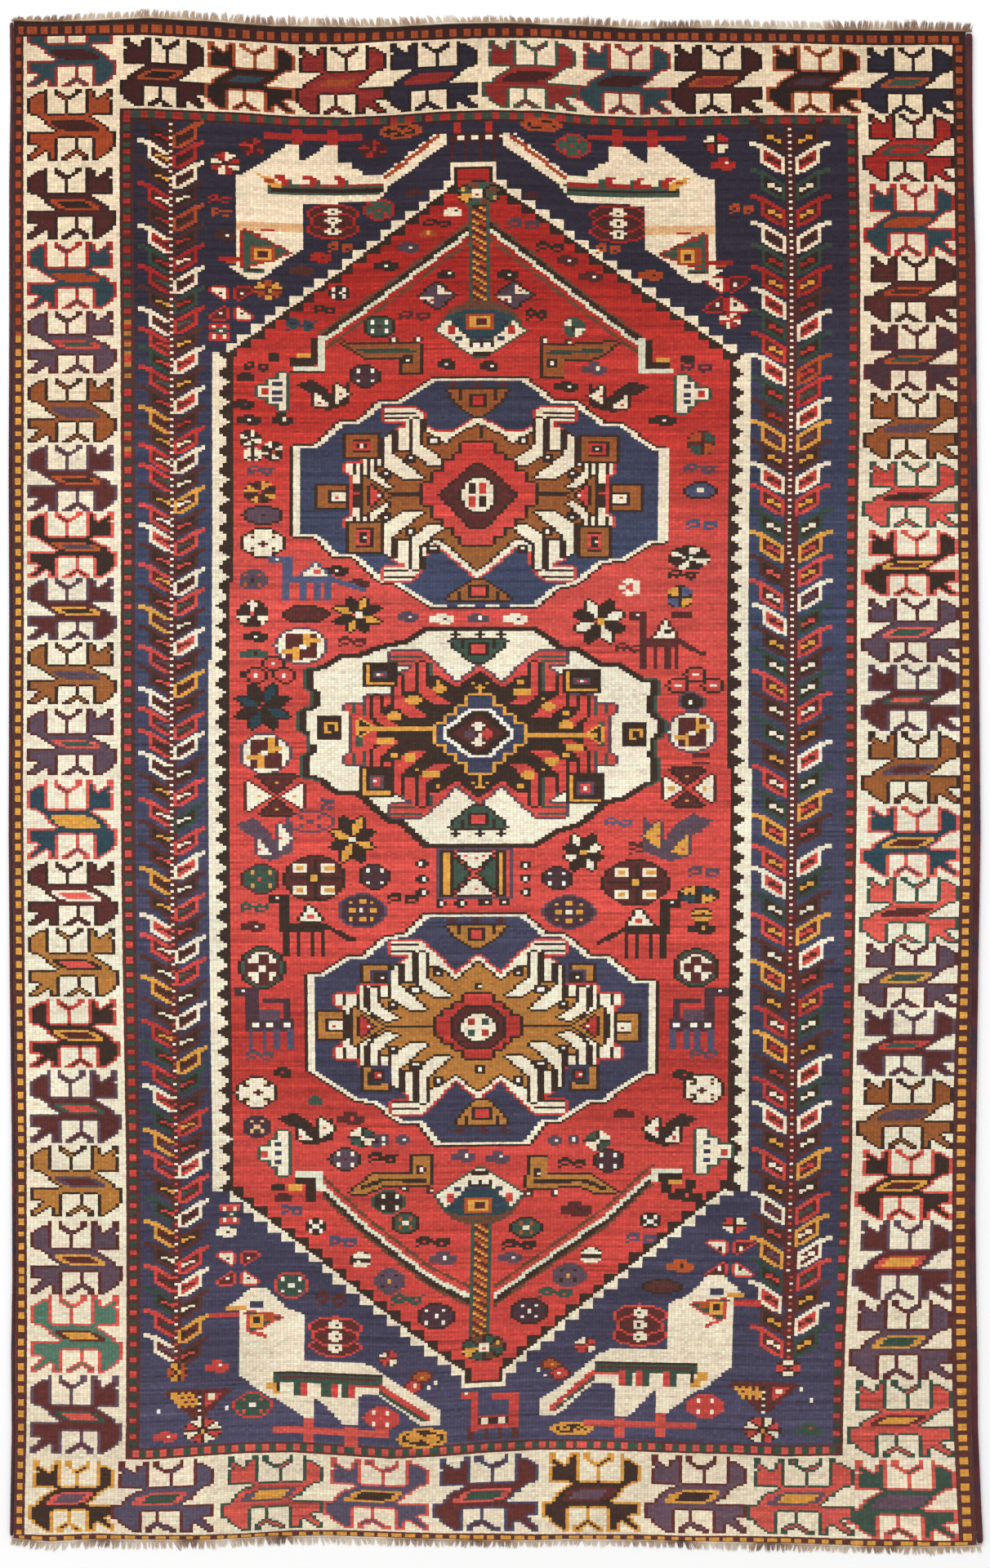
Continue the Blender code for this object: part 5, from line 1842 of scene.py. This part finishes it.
def side_cord(name, material):
    """A bundle of warps wrapped with wool: a flattened tube, ridged by its wraps."""
    facts = CORDS[name]
    low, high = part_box(name)
    grain = random.Random(facts["column"])
    count = round((high[1] - low[1]) / CORD_STEP)
    rows = np.linspace(0, ROWS, SIDE_POINTS)
    edge_x, edge_y = knot_place(facts["column"] - EDGE, rows)
    ys = np.linspace(low[1] + CORD_END_GAP, high[1] - CORD_END_GAP, count)
    xs = np.interp(ys, edge_y[::-1], edge_x[::-1])
    middle = facts["side"] * (facts["width"] / 2 + CORD_GAP)
    curve = tube_curve(name, facts["width"] / 2, 2)
    points, radii = [], []
    for k, (x, y) in enumerate(zip(xs, ys)):
        wrap = 1 - CORD_RIDGE * (k % 2)
        taper = min(1, 0.75 + 0.05 * min(k, count - 1 - k))
        points.append((x + middle + grain.gauss(0, 0.00008), y, 0))
        radii.append(wrap * taper * grain.uniform(0.95, 1.0))
    add_run(curve, points, radii)
    mesh = mesh_of_curve(name, curve)
    flatten = facts["height"] / facts["width"]
    for vert in mesh.vertices:
        vert.co.z = vert.co.z * flatten + facts["height"] / 2
    return finish_piece(f"{name}_wraps", mesh, material)


def end_web(name, edge, end, start, finish):
    """The narrow woven web that the warps come out of."""
    web = tube_curve(name, WEB["width"] / 2, 1)
    xs = np.linspace(start - 0.001, finish + 0.001, WEB_POINTS)
    ys = np.interp(xs, *edge) + end * (WEB["width"] / 2 + WEB_GAP)
    add_run(web, [(x, y, 0) for x, y in zip(xs, ys)],
            [0.96 - 0.1 * (k % 2) for k in range(WEB_POINTS)])
    mesh = mesh_of_curve(f"{name}_web", web)
    for vert in mesh.vertices:
        vert.co.z = vert.co.z * WEB["height"] / WEB["width"] + WEB["height"] / 2
    return mesh


def warp_ends(name, material):
    """The end web and its loose twisted warps, lying on the floor in small locks."""
    facts = FRINGES[name]
    end = facts["end"]
    grain = random.Random(facts["seed"])
    edge = knot_place(np.linspace(-EDGE, COLUMNS - EDGE, EDGE_POINTS), facts["row"])
    curve = tube_curve(name, STRAND_THICKNESS / 2, 0)
    low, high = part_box(name)
    start, finish = low[0] + 0.004, high[0] - 0.004
    lock_left = 0
    for k in range(FRINGE_STRANDS):
        x = start + (finish - start) * (k + grain.uniform(0.1, 0.9)) / FRINGE_STRANDS
        root = np.interp(x, *edge) + end * 0.0005
        length, lean = (float(v) / 1000 for v in table_lines(facts["reach"], x * 1000))
        if lock_left == 0:
            lock_left = grain.randint(5, 14)
            lock_lean = grain.gauss(0, 0.0016)
            lock_reach = grain.uniform(0.82, 1.04)
            lock_x = x + grain.uniform(0.001, 0.004)
        lock_left -= 1
        reach = (length - 0.0006) * lock_reach * grain.uniform(0.72, 1.0)
        gather = (lock_x - x) * 0.4
        points = []
        for share, _ in STRAND_TAPER:
            curl = grain.gauss(0, 0.0003) * (share > 0)
            px = x + gather * share + (lean + lock_lean) * share**2 + curl
            pz = max(WEB["height"] * 0.62 * (1 - share * 1.6), 0.0005 + grain.random() * 0.0012)
            points.append((min(max(px, low[0] + 0.001), high[0] - 0.001),
                           root + end * reach * share, pz))
        add_run(curve, points, [radius for _, radius in STRAND_TAPER])
    mesh = mesh_of_curve(name, curve)
    web_mesh = end_web(name, edge, end, start, finish)
    bm = bmesh.new()
    bm.from_mesh(mesh)
    bm.from_mesh(web_mesh)
    bm.to_mesh(mesh)
    bm.free()
    bpy.data.meshes.remove(web_mesh)
    return finish_piece(f"{name}_warps", mesh, material)


# ------------------------------------------------------------------------ finishes
def add_node(material, kind, settings=(), **links):
    """Add a node, set its properties and sockets, and link the named inputs."""
    node = material.node_tree.nodes.new(kind)
    for key, value in dict(settings).items():
        if isinstance(key, str) and hasattr(node, key):
            setattr(node, key, value)
        else:
            node.inputs[key].default_value = value
    for key, source in links.items():
        name = int(key[1:]) if key[0] == "_" else key.replace("__", " ")
        material.node_tree.links.new(source, node.inputs[name])
    return node


WOOL_IOR = 1.54
WOOL_SPECULAR = 0.25        # fibres scatter most of what a smooth surface would mirror
WOOL_SHEEN, SHEEN_ROUGHNESS = 0.08, 0.5     # the down on the yarn
FIBRE_SCALE = 900           # a mark each 1.1 mm, tufts of fibres drawn coarse enough to show
ABRASH_SCALE = 7            # a change of tone each 14 cm


def new_wool(name, roughness):
    """A matt, faintly downy wool and its shader."""
    material = bpy.data.materials.new(name)
    material.use_nodes = True
    shader = material.node_tree.nodes["Principled BSDF"]
    for socket, value in (("Roughness", roughness), ("IOR", WOOL_IOR),
                          ("Specular IOR Level", WOOL_SPECULAR), ("Sheen Weight", WOOL_SHEEN),
                          ("Sheen Roughness", SHEEN_ROUGHNESS)):
        shader.inputs[socket].default_value = value
    return material, shader


def cut_pile_wool(name, dull):
    """Hand-spun wool cut short: matt and a little downy, each knot a soft tuft."""
    material, shader = new_wool(name, 0.92)
    place = add_node(material, "ShaderNodeTexCoord")
    dye = add_node(material, "ShaderNodeAttribute", {"attribute_name": "dye"})
    knots = add_node(material, "ShaderNodeUVMap", {"uv_map": "knots"})
    # wear and washing change the tone over tens of centimetres
    abrash = add_node(material, "ShaderNodeTexNoise", {"Scale": ABRASH_SCALE, "Detail": 3},
                      Vector=place.outputs["Object"])
    fibres = add_node(material, "ShaderNodeTexNoise", {"Scale": FIBRE_SCALE, "Detail": 2},
                      Vector=place.outputs["Object"])
    both = add_node(material, "ShaderNodeMath", {"operation": "ADD"},
                    _0=abrash.outputs["Fac"], _1=fibres.outputs["Fac"])
    tone = add_node(material, "ShaderNodeMapRange", {"From Min": 0.7, "From Max": 1.3,
                    "To Min": 0.86 * dull, "To Max": 1.12 * dull}, _0=both.outputs[0])
    toned = add_node(material, "ShaderNodeVectorMath", {"operation": "SCALE"},
                     _0=dye.outputs["Color"], _3=tone.outputs[0])
    # the corners of a knot are lower than its middle, and painted shade darkens their colour
    inside_knot = add_node(material, "ShaderNodeVectorMath", {"operation": "FRACTION"},
                           _0=knots.outputs["UV"])
    from_middle = add_node(material, "ShaderNodeVectorMath",
                           {"operation": "DISTANCE", 1: (0.5, 0.5, 0)},
                           _0=inside_knot.outputs[0])
    depth_and_painted_shade = add_node(material, "ShaderNodeMapRange", {"From Min": 0.25, "From Max": 0.7,
                      "To Min": 1.0, "To Max": 0.74}, _0=from_middle.outputs["Value"])
    # painted shade: the dye is darkened towards each knot's corners, where the pile dips
    shaded = add_node(material, "ShaderNodeVectorMath", {"operation": "SCALE"},
                      _0=toned.outputs[0], _3=depth_and_painted_shade.outputs[0])
    material.node_tree.links.new(shaded.outputs[0], shader.inputs["Base Color"])
    height = add_node(material, "ShaderNodeMath", {"operation": "MULTIPLY_ADD", 1: 0.5},
                      _0=fibres.outputs["Fac"], _2=depth_and_painted_shade.outputs[0])
    bump = add_node(material, "ShaderNodeBump", {"Strength": 0.5, "Distance": 0.0008},
                    Height=height.outputs[0])
    material.node_tree.links.new(bump.outputs[0], shader.inputs["Normal"])
    return material


def banded_wool(name, shades, along, fine, roughness):
    """Wool whose colour changes in stretches: shades are share and hex pairs.

    along and fine are marks to the metre on each axis, of the stretches and the fibres.
    """
    material, shader = new_wool(name, roughness)
    place = add_node(material, "ShaderNodeTexCoord")
    stretch = add_node(material, "ShaderNodeMapping", {"Scale": along},
                       Vector=place.outputs["Object"])
    zones = add_node(material, "ShaderNodeTexNoise", {"Scale": 1, "Detail": 3},
                     Vector=stretch.outputs[0])
    ramp = add_node(material, "ShaderNodeValToRGB", Fac=zones.outputs["Fac"])
    band = ramp.color_ramp
    for k, (share, shade) in enumerate(shades):
        stop = band.elements[k] if k < 2 else band.elements.new(share)
        stop.position = share
        stop.color = (*linear(shade), 1)
    fibres = add_node(material, "ShaderNodeMapping", {"Scale": fine},
                      Vector=place.outputs["Object"])
    grain = add_node(material, "ShaderNodeTexNoise", {"Scale": 1, "Detail": 2},
                     Vector=fibres.outputs[0])
    tone = add_node(material, "ShaderNodeMapRange", {"From Min": 0.3, "From Max": 0.7,
                    "To Min": 0.72, "To Max": 1.2}, _0=grain.outputs["Fac"])
    shaded = add_node(material, "ShaderNodeVectorMath", {"operation": "SCALE"},
                      _0=ramp.outputs["Color"], _3=tone.outputs[0])
    material.node_tree.links.new(shaded.outputs[0], shader.inputs["Base Color"])
    bump = add_node(material, "ShaderNodeBump", {"Strength": 0.4, "Distance": 0.0005},
                    Height=grain.outputs["Fac"])
    material.node_tree.links.new(bump.outputs[0], shader.inputs["Normal"])
    return material


# ----------------------------------------------------------------- making the rug
pile_wool = cut_pile_wool("cut pile wool", 1.0)
# the knots' backs are pressed flat and dusty
back_wool = cut_pile_wool("woven back wool", 0.8)
# dark red and aubergine wool by turns, a new length of yarn each 11 cm, wraps about 1 mm
cord_wool = banded_wool("overcast wool",
                        ((0.36, "#4A1F24"), (0.47, "#5E2A2C"), (0.55, "#3A2A38"),
                         (0.66, "#6A2E2C")), (1, 9, 1), (500, 1400, 500), 0.88)
# undyed wool of pale and brown sheep, changing each 7 cm, twisted thread 0.8 mm thick
warp_wool = banded_wool("undyed warp wool",
                        ((0.30, "#5B3B2C"), (0.40, "#A98466"), (0.50, "#D0B598"),
                         (0.66, "#EEE0CC")), (14, 2, 2), (1300, 160, 600), 0.9)

strips = pile_strips(pile_wool)
back = foundation(back_wool)
cords = [side_cord(name, cord_wool) for name in CORDS]
fringes = [warp_ends(name, warp_wool) for name in FRINGES]
for strip in strips:
    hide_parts("rug")
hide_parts("rug")
for piece, name in zip(cords + fringes, [*CORDS, *FRINGES]):
    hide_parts(name)


# ------------------------------------------------------------ floor, camera, light
FLOOR_HALF = 6              # metres, far past the picture's edges
FLOOR_ROUGHNESS = 0.95
CAMERA_AWAY = 14.0
CAMERA_SENSOR = 24          # millimetres
CAMERA_CLIP = 60
SKY_STRENGTH = 0.82
SOFTBOX_SIZE = 3.5
SOFTBOX_POWER = 82          # watts
SOFTBOX_PLACE = (-2.2, 2.6, 3.6)    # the photo's light comes softly from the upper left


def pale_floor():
    """A plain off-white floor, matt."""
    bm = bmesh.new()
    bmesh.ops.create_grid(bm, x_segments=1, y_segments=1, size=FLOOR_HALF)
    mesh = bpy.data.meshes.new("floor")
    bm.to_mesh(mesh)
    bm.free()
    floor = bpy.data.objects.new("floor", mesh)
    bpy.context.scene.collection.objects.link(floor)
    material = bpy.data.materials.new("pale matt floor")
    material.use_nodes = True
    shader = material.node_tree.nodes["Principled BSDF"]
    shader.inputs["Base Color"].default_value = (*linear("#FFFFFF"), 1)
    shader.inputs["Roughness"].default_value = FLOOR_ROUGHNESS
    mesh.materials.append(material)


def long_lens_camera():
    """Straight above, so far up that the rug is seen without perspective."""
    camera = bpy.data.cameras.new("camera")
    camera.sensor_fit = "VERTICAL"
    camera.sensor_height = CAMERA_SENSOR
    camera.lens = CAMERA_SENSOR * CAMERA_AWAY / (PHOTO_SIZE[1] * PIXEL)
    camera.clip_end = CAMERA_CLIP
    holder = bpy.data.objects.new("camera", camera)
    bpy.context.scene.collection.objects.link(holder)
    holder.location = ((PHOTO_SIZE[0] / 2 - ORIGIN_PIXEL[0]) * PIXEL,
                       (ORIGIN_PIXEL[1] - PHOTO_SIZE[1] / 2) * PIXEL, CAMERA_AWAY)
    bpy.context.scene.camera = holder


def soft_light():
    """An even white studio with one large softbox."""
    world = bpy.data.worlds.new("studio")
    bpy.context.scene.world = world
    world.use_nodes = True
    sky = world.node_tree.nodes["Background"]
    sky.inputs["Color"].default_value = (1, 1, 1, 1)
    sky.inputs["Strength"].default_value = SKY_STRENGTH
    lamp = bpy.data.lights.new("softbox", "AREA")
    lamp.shape = "RECTANGLE"
    lamp.size, lamp.size_y = SOFTBOX_SIZE, SOFTBOX_SIZE
    lamp.energy = SOFTBOX_POWER
    holder = bpy.data.objects.new("softbox", lamp)
    bpy.context.scene.collection.objects.link(holder)
    holder.location = SOFTBOX_PLACE
    aim = Vector((0, 0, 0)) - holder.location
    holder.rotation_euler = aim.to_track_quat("-Z", "Y").to_euler()


pale_floor()
long_lens_camera()
soft_light()
bpy.context.scene.view_settings.view_transform = "Standard"
